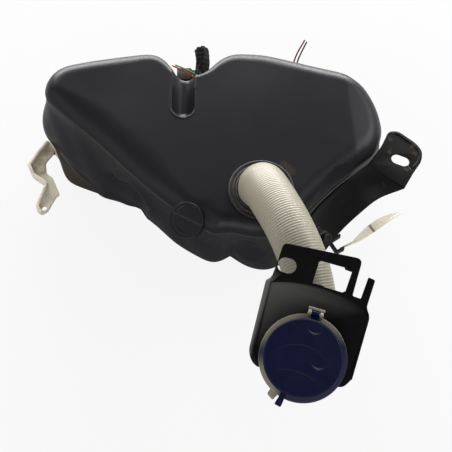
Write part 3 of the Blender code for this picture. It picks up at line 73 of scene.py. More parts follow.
def plug(tree, node, sockets):
    """Sets sockets of a node. Each takes a constant, or another node's output, which is linked."""
    for socket, value in sockets.items():
        if isinstance(value, bpy.types.NodeSocket):
            tree.links.new(value, node.inputs[socket])
        else:
            node.inputs[socket].default_value = value


def add_node(tree, kind, sockets=None, **settings):
    """Adds one shader node with its settings and sockets."""
    made = tree.nodes.new("ShaderNode" + kind)
    for setting, value in settings.items():
        setattr(made, setting, value)
    plug(tree, made, sockets or {})
    return made


world = scene.world or bpy.data.worlds.new("studio")
scene.world = world
world.use_nodes = True
tree = world.node_tree
tree.nodes.clear()
rays = add_node(tree, "LightPath")
seen = add_node(tree, "Math", {0: rays.outputs["Is Camera Ray"], 1: rays.outputs["Is Transmission Ray"]},
                operation="MAXIMUM")
lit = add_node(tree, "Background", {"Color": (1, 1, 1, 1), "Strength": 0.30})
white = add_node(tree, "Background", {"Color": (1, 1, 1, 1), "Strength": 1.0})
mixed = add_node(tree, "MixShader", {0: seen.outputs[0], 1: lit.outputs[0], 2: white.outputs[0]})
add_node(tree, "OutputWorld", {"Surface": mixed.outputs[0]})

floor_mesh = bpy.data.meshes.new("floor")
floor_mesh.from_pydata([(-3, -3, 0), (3, -3, 0), (3, 3, 0), (-3, 3, 0)], [], [(0, 1, 2, 3)])
floor = bpy.data.objects.new("floor", floor_mesh)
scene.collection.objects.link(floor)
paper = bpy.data.materials.new("white_paper")
paper.use_nodes = True
tree = paper.node_tree
shader = tree.nodes["Principled BSDF"]
plug(tree, shader, {"Base Color": (0.55, 0.55, 0.55, 1), "Roughness": 0.9})
rays = add_node(tree, "LightPath")
seen = add_node(tree, "Math", {0: rays.outputs["Is Camera Ray"], 1: rays.outputs["Is Transmission Ray"]},
                operation="MAXIMUM")
share = add_node(tree, "Math", {0: seen.outputs[0], 1: 0.88}, operation="MULTIPLY")
glow = add_node(tree, "Emission", {"Color": (1, 1, 1, 1), "Strength": 1.0})
mixed = add_node(tree, "MixShader", {0: share.outputs[0], 1: shader.outputs[0], 2: glow.outputs[0]})
plug(tree, tree.nodes["Material Output"], {"Surface": mixed.outputs[0]})
floor_mesh.materials.append(paper)


# The wiring: thin plastic insulated wires leave the harness sleeve's end and the sensor's plug, and end bare,
# as on a part taken from a car. Their skins are dulled by dust.
class Finish:
    """A material: a Principled shader and the nodes that feed it, in the object's own coordinates."""

    def __init__(self, name):
        self.material = bpy.data.materials.new(name)
        self.material.use_nodes = True
        self.tree = self.material.node_tree
        self.place = add_node(self.tree, "TexCoord").outputs["Object"]

    def noise(self, scale, detail, roughness=0.5):
        """Cloudy noise from 0 to 1. A larger scale is finer."""
        sockets = {"Vector": self.place, "Scale": scale, "Detail": detail, "Roughness": roughness}
        return add_node(self.tree, "TexNoise", sockets).outputs["Fac"]

    def cells(self, scale):
        """Distance from the nearest of many scattered points."""
        return add_node(self.tree, "TexVoronoi", {"Vector": self.place, "Scale": scale}).outputs["Distance"]

    def ranged(self, value, start, end, low, high):
        """A value from start to end, put from low to high."""
        return add_node(self.tree, "MapRange", {"Value": value, 1: start, 2: end, 3: low, 4: high}).outputs[0]

    def blend(self, share, first, second):
        """Mixes two colours, each of them a constant or another node's."""
        first, second = ((*colour, 1) if isinstance(colour, tuple) else colour for colour in (first, second))
        return add_node(self.tree, "MixRGB", {0: share, 1: first, 2: second}).outputs[0]

    def math(self, operation, *values):
        """One sum of the named operation."""
        return add_node(self.tree, "Math", dict(enumerate(values)), operation=operation).outputs[0]

    def attribute(self, name):
        """The mesh's own value of that name."""
        return add_node(self.tree, "Attribute", attribute_name=name).outputs["Fac"]

    def bump(self, height, strength, distance):
        """A normal raised by a height."""
        sockets = {"Height": height, "Strength": strength, "Distance": distance}
        return add_node(self.tree, "Bump", sockets).outputs["Normal"]

    def spots(self, centres, reach):
        """1 within reach of any of the centres, fading to 0 at twice that distance."""
        least = None
        for centre in centres:
            sockets = {0: self.place, 1: centre}
            away = add_node(self.tree, "VectorMath", sockets, operation="DISTANCE").outputs["Value"]
            least = away if least is None else self.math("MINIMUM", least, away)
        return self.ranged(least, reach, 2 * reach, 1.0, 0.0)

    def wear(self, sockets):
        """Sets or links the shader's own sockets."""
        plug(self.tree, self.tree.nodes["Principled BSDF"], sockets)


def smooth_path(points, step):
    """Evenly spaced points of a Catmull-Rom curve through the given ones."""
    knots = np.array(points, float)
    knots = np.vstack([2 * knots[0] - knots[1], knots, 2 * knots[-1] - knots[-2]])
    t = np.linspace(0, 1, 24, endpoint=False)[:, None]
    a, b, c, d = (knots[i: len(knots) - 3 + i, None] for i in range(4))
    dense = 0.5 * (2 * b + (c - a) * t + (2 * a - 5 * b + 4 * c - d) * t**2 + (3 * b - a - 3 * c + d) * t**3)
    dense = np.vstack([dense.reshape(-1, 3), knots[-2]])
    along = np.append(0, np.cumsum(np.linalg.norm(np.diff(dense, axis=0), axis=1)))
    wanted = np.linspace(0, along[-1], max(4, round(along[-1] / step) + 1))
    return np.stack([np.interp(wanted, along, dense[:, axis]) for axis in range(3)], 1)


def grid_faces(rows, columns, closed=True):
    """Quads of a grid of rows by columns, closed round in its columns or open."""
    i, j = np.meshgrid(np.arange(rows - 1), np.arange(columns if closed else columns - 1), indexing="ij")
    k = (j + 1) % columns
    low, high = i * columns, (i + 1) * columns
    return np.stack([low + j, low + k, high + k, high + j], -1).reshape(-1, 4)


def looped_faces(rows, columns):
    """Quads of a grid that is closed in its columns, and whose last row joins its first."""
    return grid_faces(rows + 1, columns) % (rows * columns)


def capped_tube(rings):
    """Points and faces of a tube of rings with both its ends closed."""
    count, sides = rings.shape[:2]
    first = np.arange(sides)
    faces = [*grid_faces(count, sides), first, first[::-1] + (count - 1) * sides]
    return rings.reshape(-1, 3), faces


def carried(path, sides, radius):
    """A tube's rings: one circle of the given radius per point of the path, carried along without twist."""
    path = np.asarray(path, float)
    tangent = np.gradient(path, axis=0)
    tangent /= np.linalg.norm(tangent, axis=1)[:, None]
    side = np.empty_like(tangent)
    before = np.cross(tangent[0], (0.3, 0.2, 0.93))
    for i, t in enumerate(tangent):
        before = before - t * (before @ t)
        before /= np.linalg.norm(before)
        side[i] = before
    other = np.cross(tangent, side)
    turn = np.linspace(0, 2 * np.pi, sides, endpoint=False)[None, :, None]
    ring = side[:, None] * np.cos(turn) + other[:, None] * np.sin(turn)
    reach = np.broadcast_to(np.asarray(radius, float).reshape(len(path), -1), (len(path), sides))
    return path[:, None] + ring * reach[..., None]


WIRE_RADIUS = 0.0008
WIRE_STEP = 0.0025
WIRES = {
    "wire_orange": ((0.62, 0.10, 0.02), (
        (-0.0082, 0.1064, 0.0868), (-0.0094, 0.1045, 0.0880), (-0.0125, 0.1035, 0.0903),
        (-0.0170, 0.1050, 0.0922), (-0.0225, 0.1085, 0.0935), (-0.0290, 0.1115, 0.0945),
        (-0.0355, 0.1150, 0.0950))),
    "wire_green": ((0.05, 0.26, 0.07), (
        (-0.0058, 0.1063, 0.0876), (-0.0068, 0.1046, 0.0896), (-0.0100, 0.1046, 0.0918),
        (-0.0145, 0.1068, 0.0936), (-0.0200, 0.1095, 0.0948), (-0.0262, 0.1122, 0.0955),
        (-0.0325, 0.1152, 0.0958))),
    "wire_red": ((0.30, 0.02, 0.02), (
        (0.0882, 0.1300, 0.0508), (0.0884, 0.1304, 0.0600), (0.0892, 0.1320, 0.0700),
        (0.0908, 0.1340, 0.0800), (0.0935, 0.1365, 0.0890), (0.0970, 0.1400, 0.0950),
        (0.1000, 0.1440, 0.0985))),
    "wire_black": ((0.02, 0.02, 0.02), (
        (0.0914, 0.1290, 0.0508), (0.0918, 0.1296, 0.0600), (0.0926, 0.1308, 0.0700),
        (0.0940, 0.1326, 0.0800), (0.0965, 0.1350, 0.0885), (0.0995, 0.1385, 0.0945),
        (0.1020, 0.1425, 0.0975))),
}
for name, (colour, route) in WIRES.items():
    path = smooth_path(route, WIRE_STEP)
    curve = bpy.data.curves.new(name, "CURVE")
    curve.dimensions = "3D"
    curve.bevel_depth = WIRE_RADIUS
    curve.bevel_resolution = 3
    curve.use_fill_caps = True
    spline = curve.splines.new("POLY")
    spline.points.add(len(path) - 1)
    spline.points.foreach_set("co", np.hstack([path, np.ones((len(path), 1))]).ravel())
    wire = bpy.data.objects.new("free_" + name, curve)
    scene.collection.objects.link(wire)
    skin = Finish(name + "_insulation")
    scuffs = skin.noise(900.0, 3.0)
    dust = skin.ranged(scuffs, 0.45, 0.75, 0.0, 0.6)
    tint = skin.blend(dust, colour, (0.16, 0.12, 0.08))
    skin.wear({"Base Color": tint, "Roughness": 0.5})
    curve.materials.append(skin.material)
    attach(wire, "reservoir")
    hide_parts(name)

# The tank: one blow moulded polyethylene shell with a satin black skin. Its two halves meet at a parting
# line under the shoulder, and the wall below the waist is caked with road dust.
TANK_HEIGHT = 0.118
SHOULDER = 0.018
BASE_ROUND = 0.009
WAIST_Z = 0.050
LIP_Z = 0.043
PARTING_Z = 0.1045
TANK_OUTLINE = np.array((
    (-0.162, 0.070, 0.011, 0.002), (-0.160, 0.092, 0.008, 0.005), (-0.147, 0.106, 0.003, 0.002),
    (-0.116, 0.113, 0.000, 0.000), (-0.078, 0.119, 0.000, 0.000), (-0.055, 0.121, 0.000, 0.000),
    (-0.043, 0.114, 0.000, 0.000), (-0.036, 0.102, 0.000, 0.000), (-0.031, 0.091, 0.000, 0.000),
    (-0.019, 0.089, 0.000, 0.000), (-0.007, 0.090, 0.000, 0.000), (0.002, 0.097, 0.000, 0.000),
    (0.011, 0.112, 0.000, 0.000), (0.025, 0.122, 0.000, 0.000), (0.056, 0.121, 0.000, 0.000),
    (0.085, 0.1128, 0.000, 0.000), (0.114, 0.1046, 0.000, 0.000), (0.139, 0.098, 0.000, 0.000),
    (0.157, 0.083, 0.002, 0.000), (0.168, 0.060, 0.003, 0.000), (0.172, 0.034, 0.003, -0.002),
    (0.163, 0.008, 0.002, -0.006), (0.142, -0.010, 0.002, -0.010), (0.118, -0.030, 0.003, -0.012),
    (0.098, -0.050, 0.004, -0.012), (0.082, -0.070, 0.006, -0.010), (0.058, -0.083, 0.010, -0.008),
    (0.036, -0.081, 0.006, -0.012), (0.023, -0.075, 0.001, -0.015), (0.009, -0.080, 0.007, -0.014),
    (-0.008, -0.069, 0.009, -0.010), (-0.032, -0.051, 0.008, -0.008), (-0.052, -0.034, 0.006, -0.012),
    (-0.076, -0.012, 0.0095, -0.010), (-0.105, 0.018, 0.019, 0.009), (-0.135, 0.045, 0.019, 0.024),
))
AROUND = 540
TANK_CENTRE = np.array((-0.016, 0.034))


def at_height(flat, z):
    """Points of a plan, put at the height z."""
    return np.column_stack([flat, np.full(len(flat), z)])


def softened(values, width):
    """A closed row of values blurred with a bell curve of that width, counted in steps."""
    wave = np.fft.fftfreq(len(values))[:, None]
    return np.fft.ifft(np.fft.fft(values, axis=0) * np.exp(-2 * (np.pi * width * wave) ** 2), axis=0).real


def tank_plan():
    """Plan of the tank in equal steps, its outward normals and how far it flares at waist and base.

    The outline's rows are joined by straight lines, sampled evenly and blurred into one soft curve.
    """
    loop = np.vstack([TANK_OUTLINE, TANK_OUTLINE[:1]])
    along = np.append(0, np.cumsum(np.hypot(*np.diff(loop[:, :2], axis=0).T)))
    wanted = np.linspace(0, along[-1], AROUND, endpoint=False)
    rows = np.stack([np.interp(wanted, along, loop[:, column]) for column in range(4)], 1)
    rows = softened(rows, AROUND / 112)
    tangent = np.roll(rows[:, :2], -1, 0) - np.roll(rows[:, :2], 1, 0)
    normal = softened(np.stack([-tangent[:, 1], tangent[:, 0]], 1), 1.4 * AROUND / 112)
    return rows[:, :2], normal / np.linalg.norm(normal, axis=1)[:, None], rows[:, 2:]


def bell(value, width):
    """1 at zero, falling off as a bell curve of that width."""
    return np.exp(-0.5 * (value / width) ** 2)


def near(points, centre, width):
    """A bell curve of the distance from a centre, for points of two or three axes."""
    return bell(np.linalg.norm(points - np.array(centre), axis=-1), width)


def from_line(points, line):
    """Distance of pairs of coordinates from a broken line, and on which side of it they lie (-1 or 1)."""
    least = np.full(points.shape[:-1], 1e9)
    side = np.zeros(points.shape[:-1])
    for start, end in zip(np.array(line[:-1]), np.array(line[1:])):
        way = end - start
        off = points - start
        reach = np.clip(off @ way / (way @ way), 0, 1)
        gap = np.linalg.norm(off - reach[..., None] * way, axis=-1)
        turn = np.sign(way[0] * off[..., 1] - way[1] * off[..., 0])
        side = np.where(gap < least, turn, side)
        least = np.minimum(gap, least)
    return least, side


def tank_grid():
    """Rings of the whole shell from the middle of its top face, over the shoulder, to the base's middle.

    Every ring is the plan moved along its normals; the inner rings of the top face shrink to its middle.
    At a depth d below the top the shoulder's inset is R - sqrt(R^2 - (R - d)^2).
    """
    plan, normal, flare = tank_plan()
    left = np.clip((-0.03 - plan[:, :1]) / 0.03, 0, 1) * np.clip((0.062 - plan[:, 1:]) / 0.03, 0, 1)
    stretch = 1 + 0.7 * softened(left, 6)
    right = softened(np.clip((plan[:, :1] - 0.135) / 0.02, 0, 1) * np.clip(plan[:, 1:] / 0.02, 0, 1), 4)
    round_off = SHOULDER * (1 - 0.74 * near(plan, (-0.017, 0.098), 0.026))[:, None] * (1 - 0.20 * right)
    rings = []
    for share in np.linspace(0.02, 1, 84)[:-1] ** 0.9:
        flat = TANK_CENTRE + (plan - normal * round_off * stretch - TANK_CENTRE) * share
        rings.append(at_height(flat, TANK_HEIGHT))
    depths = np.union1d(SHOULDER * (1 - np.cos(np.radians(np.linspace(0, 90, 22)))),
                        TANK_HEIGHT - PARTING_Z + np.linspace(-0.0016, 0.0016, 13))
    bead_levels = WAIST_Z + np.linspace(0.0004, 0.0044, 11)
    shoulder_z = TANK_HEIGHT - SHOULDER
    levels = np.concatenate([TANK_HEIGHT - depths, np.linspace(shoulder_z, WAIST_Z, 24)[1:], bead_levels])
    levels = np.sort(np.unique(levels.round(6)))[::-1]
    for z in levels:
        rest = np.clip(round_off - (TANK_HEIGHT - z), 0, None)
        inset = stretch * (round_off - np.sqrt(round_off**2 - rest**2))
        t = np.clip((shoulder_z - z) / (shoulder_z - WAIST_Z), 0, 1)
        out = flare[:, :1] * np.sin(0.5 * np.pi * t) ** 1.72
        rings.append(at_height(plan + normal * (out - inset), z))
    for t in np.linspace(0, 1, 11)[1:]:
        mix = 0.5 - 0.5 * np.cos(np.pi * t)
        out = flare[:, :1] * (1 - 0.7 * mix) + flare[:, 1:] * 0.7 * mix
        rings.append(at_height(plan + normal * out, WAIST_Z - t * (WAIST_Z - LIP_Z)))
    for t in np.linspace(0, 1, 12)[1:]:
        out = flare[:, :1] * 0.3 * (1 - t) + flare[:, 1:] * (0.7 + 0.3 * t)
        rings.append(at_height(plan + normal * out, LIP_Z - t * (LIP_Z - BASE_ROUND)))
    for angle in np.radians(np.linspace(0, 90, 7))[1:]:
        out = flare[:, 1:] - BASE_ROUND * (1 - np.cos(angle))
        rings.append(at_height(plan + normal * out, BASE_ROUND * (1 - np.sin(angle))))
    foot = rings[-1]
    for share in (0.8, 0.6, 0.4, 0.2, 0.03):
        flat = TANK_CENTRE + (foot[:, :2] - TANK_CENTRE) * share
        rings.append(at_height(flat, 0.0))
    return np.array(rings), normal


# The fold on the left of the near wall, as x and z: the skin bulges along it and is drawn in beside it.
FOLD = ((-0.0840, 0.0849), (-0.0704, 0.0912), (-0.0637, 0.0876), (-0.0581, 0.0824), (-0.0546, 0.0760),
        (-0.0566, 0.0614), (-0.0600, 0.0500))
# Two valleys in the top face, as x and y: one beside the neck's port, one beside the round pad.
PORT_VALLEY = ((0.0976, -0.0502), (0.1116, -0.0266), (0.1214, -0.0147), (0.1292, -0.0116))
PAD_VALLEY = ((-0.0012, -0.0600), (0.0062, -0.0700), (0.0090, -0.0800))
LOBE = (-0.0960, -0.0020, 0.0470)
DISH = (0.0405, -0.0820, 0.0800)
CREASE_X = 0.0225
FACET_X, FACET_SLOPE = 0.1405, math.radians(11)
CHANNEL_X, CHANNEL_END_Y = -0.0225, 0.0515
CHANNEL_RADIUS, CHANNEL_DEPTH = 0.0112, 0.0114


def moulded(points, normal):
    """The shell with its details: each is a bell curve or a step, added along the wall's normal or to z."""
    x, y, z = points[..., 0], points[..., 1], points[..., 2]
    outward = np.zeros_like(points)
    outward[..., :2] = normal[None]
    near_side = np.clip((0.03 - y) / 0.03, 0, 1)
    waves = np.sin(41 * x + 23 * y + 1) + np.sin(-19 * x + 47 * y) + np.sin(67 * x - 31 * y + 60 * z)
    waves *= 0.0005
    dents = 0.0007 * np.sin(130 * x + 50 * z) * np.sin(95 * z - 60 * y + 2)
    dents *= np.clip((0.098 - z) / 0.02, 0, 1)
    low = np.clip((z - BASE_ROUND) / 0.02, 0, 1)
    out = 0.00040 * bell(z - PARTING_Z, 0.00035) + (0.6 * waves + dents) * low * (z < 0.1)
    gap, side = from_line(np.stack([x, z], -1), FOLD)
    out += 0.0030 * bell(gap, 0.0040) * near_side * (z < 0.103) * np.clip((z - 0.054) / 0.012, 0, 1)
    out -= 0.0040 * bell(gap - 0.0095, 0.0045) * (side < 0) * near_side * np.clip((0.103 - z) / 0.004, 0, 1)
    out += 0.0020 * bell(z - WAIST_Z - 0.0018, 0.0010) * near_side * np.clip((-0.06 - x) / 0.02, 0, 1)
    out += 0.0060 * near(points, LOBE, 0.0105)
    dish = np.linalg.norm(points - np.array(DISH), axis=-1)
    out += 0.0008 * bell(dish - 0.0170, 0.0022) - 0.0050 * bell(dish, 0.0095)
    out -= 0.0050 * np.exp(-np.abs(x - CREASE_X) / 0.006) * (y < 0) * np.clip((0.104 - z) / 0.03, 0, 1)
    moved = points + outward * out[..., None]
    facet = np.clip(x - FACET_X + 0.004 * np.clip((y - 0.02) / 0.05, -1, 1), 0, 1)
    facet = np.sqrt(facet**2 + 0.0012**2) - 0.0012
    moved[..., 2] -= facet * math.tan(FACET_SLOPE) * np.clip((z - 0.06) / 0.05, 0, 1)
    gap, side = from_line(points[..., :2], PORT_VALLEY)
    moved[..., 2] -= 0.0016 * bell(gap - 0.004, 0.004) * (side < 0) * (z > 0.1)
    gap, _ = from_line(points[..., :2], PAD_VALLEY)
    moved[..., 2] -= 0.0024 * bell(gap, 0.0050) * (z > 0.08)
    off = np.hypot(x - CHANNEL_X, np.minimum(y - CHANNEL_END_Y, 0))
    depth = CHANNEL_DEPTH * np.clip(1 - (off / CHANNEL_RADIUS) ** 2, 0, 1) ** 0.8
    rim = 0.0004 * bell(off - CHANNEL_RADIUS - 0.0010, 0.0008)
    moved[..., 2] += (rim - depth) * np.clip((z - 0.095) / (TANK_HEIGHT - 0.095), 0, 1)
    moved[..., 2] += np.where(z > 0.1, 0.5 * waves - 0.0006, 0)
    return moved


def turned(profile, sides, frame_matrix=None, closed=False):
    """A turned surface: each (radius, height) pair of the profile carried round +Z, then put into a frame."""
    profile = np.asarray(profile, float)
    turn = np.linspace(0, 2 * np.pi, sides, endpoint=False)
    radius, height = profile[:, :1], profile[:, 1:]
    points = np.stack([radius * np.cos(turn), radius * np.sin(turn), height + 0 * turn], -1)
    faces = looped_faces(len(profile), sides) if closed else grid_faces(len(profile), sides)
    if frame_matrix is not None:
        points = in_frame(points, frame_matrix)
    return points.reshape(-1, 3), faces


def in_frame(points, matrix):
    """Points of a frame of their own, put into the object's frame by its 4 by 4 matrix."""
    matrix = np.array(matrix)
    return points @ matrix[:3, :3].T + matrix[:3, 3]


def rounded_profile(rows, step=0.0003):
    """A profile through the given (radius, height) rows, its corners softened by a short bell curve."""
    rows = np.asarray(rows, float)
    along = np.append(0, np.cumsum(np.hypot(*np.diff(rows, axis=0).T)))
    wanted = np.linspace(0, along[-1], int(along[-1] / step) + 2)
    dense = np.stack([np.interp(wanted, along, rows[:, axis]) for axis in range(2)], 1)
    kernel = np.array((1, 4, 6, 4, 1)) / 16
    padded = np.vstack([dense[:1], dense[:1], dense, dense[-1:], dense[-1:]])
    return np.stack([np.convolve(padded[:, axis], kernel, "valid") for axis in range(2)], 1)


def joined(name, parts, merge=0.0, fill_sides=0):
    """One smooth object from several (points, faces) pairs, its faces turned outwards.

    Points closer than merge become one, and holes of at most fill_sides edges are filled.
    """
    points = []
    faces = []
    count = 0
    for part_points, part_faces in parts:
        points.append(np.asarray(part_points, float).reshape(-1, 3))
        faces += [tuple(int(i) + count for i in face) for face in part_faces]
        count += len(points[-1])
    mesh = bpy.data.meshes.new(name)
    mesh.from_pydata(np.vstack(points).tolist(), [], faces)
    mesh.validate()
    bm = bmesh.new()
    bm.from_mesh(mesh)
    if merge:
        bmesh.ops.remove_doubles(bm, verts=bm.verts, dist=merge)
    if fill_sides:
        bmesh.ops.holes_fill(bm, edges=bm.edges, sides=fill_sides)
    bmesh.ops.recalc_face_normals(bm, faces=bm.faces)
    bm.to_mesh(mesh)
    bm.free()
    mesh.shade_smooth()
    made = bpy.data.objects.new(name, mesh)
    scene.collection.objects.link(made)
    return made


def give_values(mesh, name, values):
    """Gives the mesh's points one value each for the materials, and 0 to the points after the last value."""
    padded = np.zeros(len(mesh.vertices), np.float32)
    padded[:np.size(values)] = np.ravel(values)
    mesh.attributes.new(name, "FLOAT", "POINT").data.foreach_set("value", padded)


def facing(centre, normal):
    """Frame at a centre with +Z along the normal."""
    return Matrix.Translation(centre) @ Vector(normal).to_track_quat("Z", "Y").to_matrix().to_4x4()


# The flat round pad on the near edge: a moulded stud with a raised rim, a D-shaped inner line and a pin mark.
PAD = facing((-0.0176, -0.0655, TANK_HEIGHT - 0.0088), (-0.23, -0.44, 0.87))
PAD_LINE_Z = 0.1096
PAD_SIDES = 150
pad_rows = rounded_profile((
    (0.0166, -0.0200), (0.0166, -0.0010), (0.0164, -0.0003), (0.0161, 0.0000), (0.0158, -0.0002),
    (0.0155, -0.0005), (0.0060, -0.0004), (0.0003, -0.0004)), 0.0002)
turn = np.linspace(0, 2 * np.pi, PAD_SIDES, endpoint=False)
x, y = pad_rows[:, :1] * np.cos(turn), pad_rows[:, :1] * np.sin(turn)
inside = pad_rows[:, :1] < 0.0154
inner_line = bell(np.hypot(x - 0.0016, y - 0.0012) - 0.0136, 0.0004) * (x + 0.6 * y < 0)
pin_mark = bell(np.hypot(x, y - 0.0004) - 0.0022, 0.0003)
pad_z = pad_rows[:, 1:] + (0.00030 * inner_line - 0.00025 * pin_mark) * inside
pad_object = in_frame(np.stack([x, y, pad_z], -1), PAD)
pad_seam = bell(pad_object[..., 2] - PAD_LINE_Z, 0.00025) * inside
pad_object = pad_object + np.array(PAD)[:3, 2] * (0.00030 * pad_seam)[..., None]
pad_shell = pad_object.reshape(-1, 3), grid_faces(len(pad_rows), PAD_SIDES)
# The round bosses for the white arm's foot and for the pump: centre, way out and radius
BOSSES = (
    ((-0.161, 0.0555, 0.0265), (-0.77, -0.64, 0.0), 0.0085),
    ((-0.0168, 0.0922, 0.0210), (0, 1, 0), 0.0120))
bosses = []
for centre, out, radius in BOSSES:
    rim = ((radius + 0.001, -0.016), (radius, -0.0008), (radius - 0.0008, 0.0), (0.0003, 0.0))
    rim = rounded_profile(rim, 0.0005)
    bosses.append(turned(rim, 48, facing(centre, out)))
points, normal = tank_grid()
tank = joined("tank_skin", [capped_tube(moulded(points, normal)), pad_shell, *bosses])


def dust_cover():
    """Node group: how much dust lies on a surface, from an amount and two sizes of noise."""
    group = bpy.data.node_groups.new("dust_cover", "ShaderNodeTree")
    for name, kind in (("Place", "Vector"), ("Amount", "Float"), ("Scale", "Float")):
        group.interface.new_socket(name, in_out="INPUT", socket_type="NodeSocket" + kind)
    group.interface.new_socket("Cover", in_out="OUTPUT", socket_type="NodeSocketFloat")
    given = group.nodes.new("NodeGroupInput").outputs
    finer = add_node(group, "Math", {0: given["Scale"], 1: 6.0}, operation="MULTIPLY")
    broad, specks = (
        add_node(group, "TexNoise",
                 {"Vector": given["Place"], "Scale": scale, "Detail": detail, "Roughness": rough})
        for scale, detail, rough in ((given["Scale"], 5.0, 0.62), (finer.outputs[0], 4.0, 0.6)))
    mixed = add_node(group, "Math", {0: broad.outputs["Fac"], 1: 0.72}, operation="MULTIPLY")
    mixed = add_node(group, "Math", {0: specks.outputs["Fac"], 1: 0.28, 2: mixed.outputs[0]},
                     operation="MULTIPLY_ADD")
    lifted = add_node(group, "Math", {0: given["Amount"], 1: 0.40, 2: mixed.outputs[0]},
                      operation="MULTIPLY_ADD")
    cover = add_node(group, "MapRange", {"Value": lifted.outputs[0], 1: 0.68, 2: 0.98})
    result = group.nodes.new("NodeGroupOutput")
    group.links.new(cover.outputs[0], result.inputs["Cover"])
    return group


DUST = dust_cover()
x, _, z = points.reshape(-1, 3).T
lower = np.clip((WAIST_Z + 0.002 - z) / 0.006, 0, 1) * np.clip((-0.058 - x) / 0.012, 0.25, 1)
caked = lower * (1.0 - 0.45 * np.clip((x + 0.02) / 0.08, 0, 1)) + 0.10 * np.clip((0.1 - z) / 0.05, 0, 1)
give_values(tank.data, "dust", caked)
give_values(tank.data, "seam", np.append(bell(z - PARTING_Z, 0.00045), 0.5 * pad_seam))

tank_black = Finish("tank_satin_black")
grain = tank_black.noise(1400.0, 2.0)
cloud = tank_black.noise(14.0, 4.0, 0.55)
dust_and_highlight = tank_black.attribute("dust")
cover = add_node(tank_black.tree, "Group", {"Place": tank_black.place, "Amount": dust_and_highlight, "Scale": 42.0},
                 node_tree=DUST).outputs["Cover"]
line = tank_black.attribute("seam")
skin = tank_black.blend(cloud, (0.0075, 0.0072, 0.0105), (0.0100, 0.0096, 0.0130))
skin = tank_black.blend(line, skin, (0.060, 0.054, 0.040))
tint = tank_black.blend(cover, skin, (0.042, 0.034, 0.027))
SMEARS = ((0.0771, -0.0150, 0.1180), (0.0730, -0.0115, 0.1180), (0.0800, -0.0195, 0.1180))
smear = tank_black.spots(SMEARS, 0.0026)
smear = tank_black.math("MULTIPLY", smear, grain)
tint = tank_black.blend(smear, tint, (0.050, 0.034, 0.024))
gloss = tank_black.ranged(cloud, 0.3, 0.7, 0.37, 0.44)
rough = tank_black.math("MULTIPLY_ADD", cover, 0.35, gloss)
bump = tank_black.bump(grain, 0.18, 0.0004)
tank_black.wear({"Base Color": tint, "Roughness": rough, "Normal": bump, "Specular IOR Level": 0.25})
tank.data.materials.append(tank_black.material)
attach(tank, "reservoir")
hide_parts("tank_shell")


# The filler port's rubber ring: a turned flange with soft round grooves that lies on the top face and grips
# the edge of the port. Brown dust has settled in its grooves.
PORT = np.array((0.0515, -0.0390, TANK_HEIGHT))
# Seated on the skin, which lies a little lower than the level of the top face.
rise = 0.0002
grommet_profile = rounded_profile((
    (0.0219, -0.0080), (0.0250, -0.0080), (0.0250, -0.0030), (0.0247, -0.0030), (0.0247, rise - 0.0006),
    (0.0305, rise - 0.0006), (0.0305, rise + 0.0012), (0.0297, rise + 0.0018), (0.0286, rise + 0.0017),
    (0.0277, rise + 0.0008), (0.0268, rise + 0.0009), (0.0259, rise + 0.0022), (0.0248, rise + 0.0023),
    (0.0242, rise + 0.0016), (0.0236, rise + 0.0030), (0.0226, rise + 0.0034), (0.0219, rise + 0.0028),
), 0.00022)
grommet = joined("port_grommet", [turned(grommet_profile, 120, Matrix.Translation(PORT), closed=True)])
rubber = Finish("dusty_rubber")
grit = rubber.noise(260.0, 6.0, 0.65)
patch = rubber.noise(45.0, 2.0)
amount = rubber.math("MULTIPLY", grit, patch)
cover = rubber.ranged(amount, 0.22, 0.42, 0.0, 0.75)
tint = rubber.blend(cover, (0.006, 0.006, 0.0068), (0.070, 0.047, 0.032))
orange = rubber.spots(((0.0409, -0.0642, 0.1200), (0.0385, -0.0618, 0.1200)), 0.0006)
orange = rubber.math("MULTIPLY", orange, grit)
tint = rubber.blend(orange, tint, (0.34, 0.06, 0.03))
bump = rubber.bump(grit, 0.25, 0.0006)
rubber.wear({"Base Color": tint, "Normal": bump, "Roughness": 0.6})
grommet.data.materials.append(rubber.material)
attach(grommet, "reservoir")
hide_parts("filler_grommet")

# The filler neck: one blow moulding of natural polyethylene. A finely ribbed tube bends twice on its way up
# to a head with a bead, a flange, a mouth and two ears for the cap's hinge pin.
HEAD = Matrix.Translation((0.0775, -0.2255, TANK_HEIGHT + 0.0825))
for lean, axis in ((17.2, "X"), (-4.9, "Y"), (-17.0, "Z")):
    HEAD = HEAD @ Matrix.Rotation(math.radians(lean), 4, axis)
NECK_ROUTE = [
    (0.0515, -0.0390, 0.104), (0.0515, -0.0390, 0.114), (0.0515, -0.0392, 0.121), (0.0518, -0.0408, 0.128),
    (0.0536, -0.0482, 0.141), (0.0608, -0.0700, 0.157), (0.0722, -0.0995, 0.168), (0.0830, -0.1310, 0.170),
    (0.0895, -0.1610, 0.162), (0.0890, -0.1860, 0.151), (0.0850, -0.2070, 0.156)]
NECK_ROUTE += [tuple(HEAD @ Vector((0, 0, z))) for z in (-0.030, -0.018)]
ROOT_RADIUS, HEAD_RADIUS, NECK_WALL = 0.0215, 0.0235, 0.0022
RIB_PITCH, RIB_DEPTH, RIB_RINGS = 0.0022, 0.00028, 6
NECK_SIDES = 80
route = smooth_path(NECK_ROUTE, RIB_PITCH / RIB_RINGS)
along = np.append(0, np.cumsum(np.linalg.norm(np.diff(route, axis=0), axis=1)))
share = np.clip((along - 0.026) / (along[-1] - 0.026), 0, 1)
radius = ROOT_RADIUS - 0.0012 * np.sin(np.pi * share) + (HEAD_RADIUS - ROOT_RADIUS) * share**4
ribbed = np.clip((along - 0.017) / 0.008, 0, 1)
groove = (0.5 + 0.5 * np.cos(2 * np.pi * along / RIB_PITCH)) ** 3
outer = carried(route, NECK_SIDES, radius - RIB_DEPTH * groove * ribbed)
inner = carried(route[::RIB_RINGS], NECK_SIDES, (radius - NECK_WALL)[::RIB_RINGS])
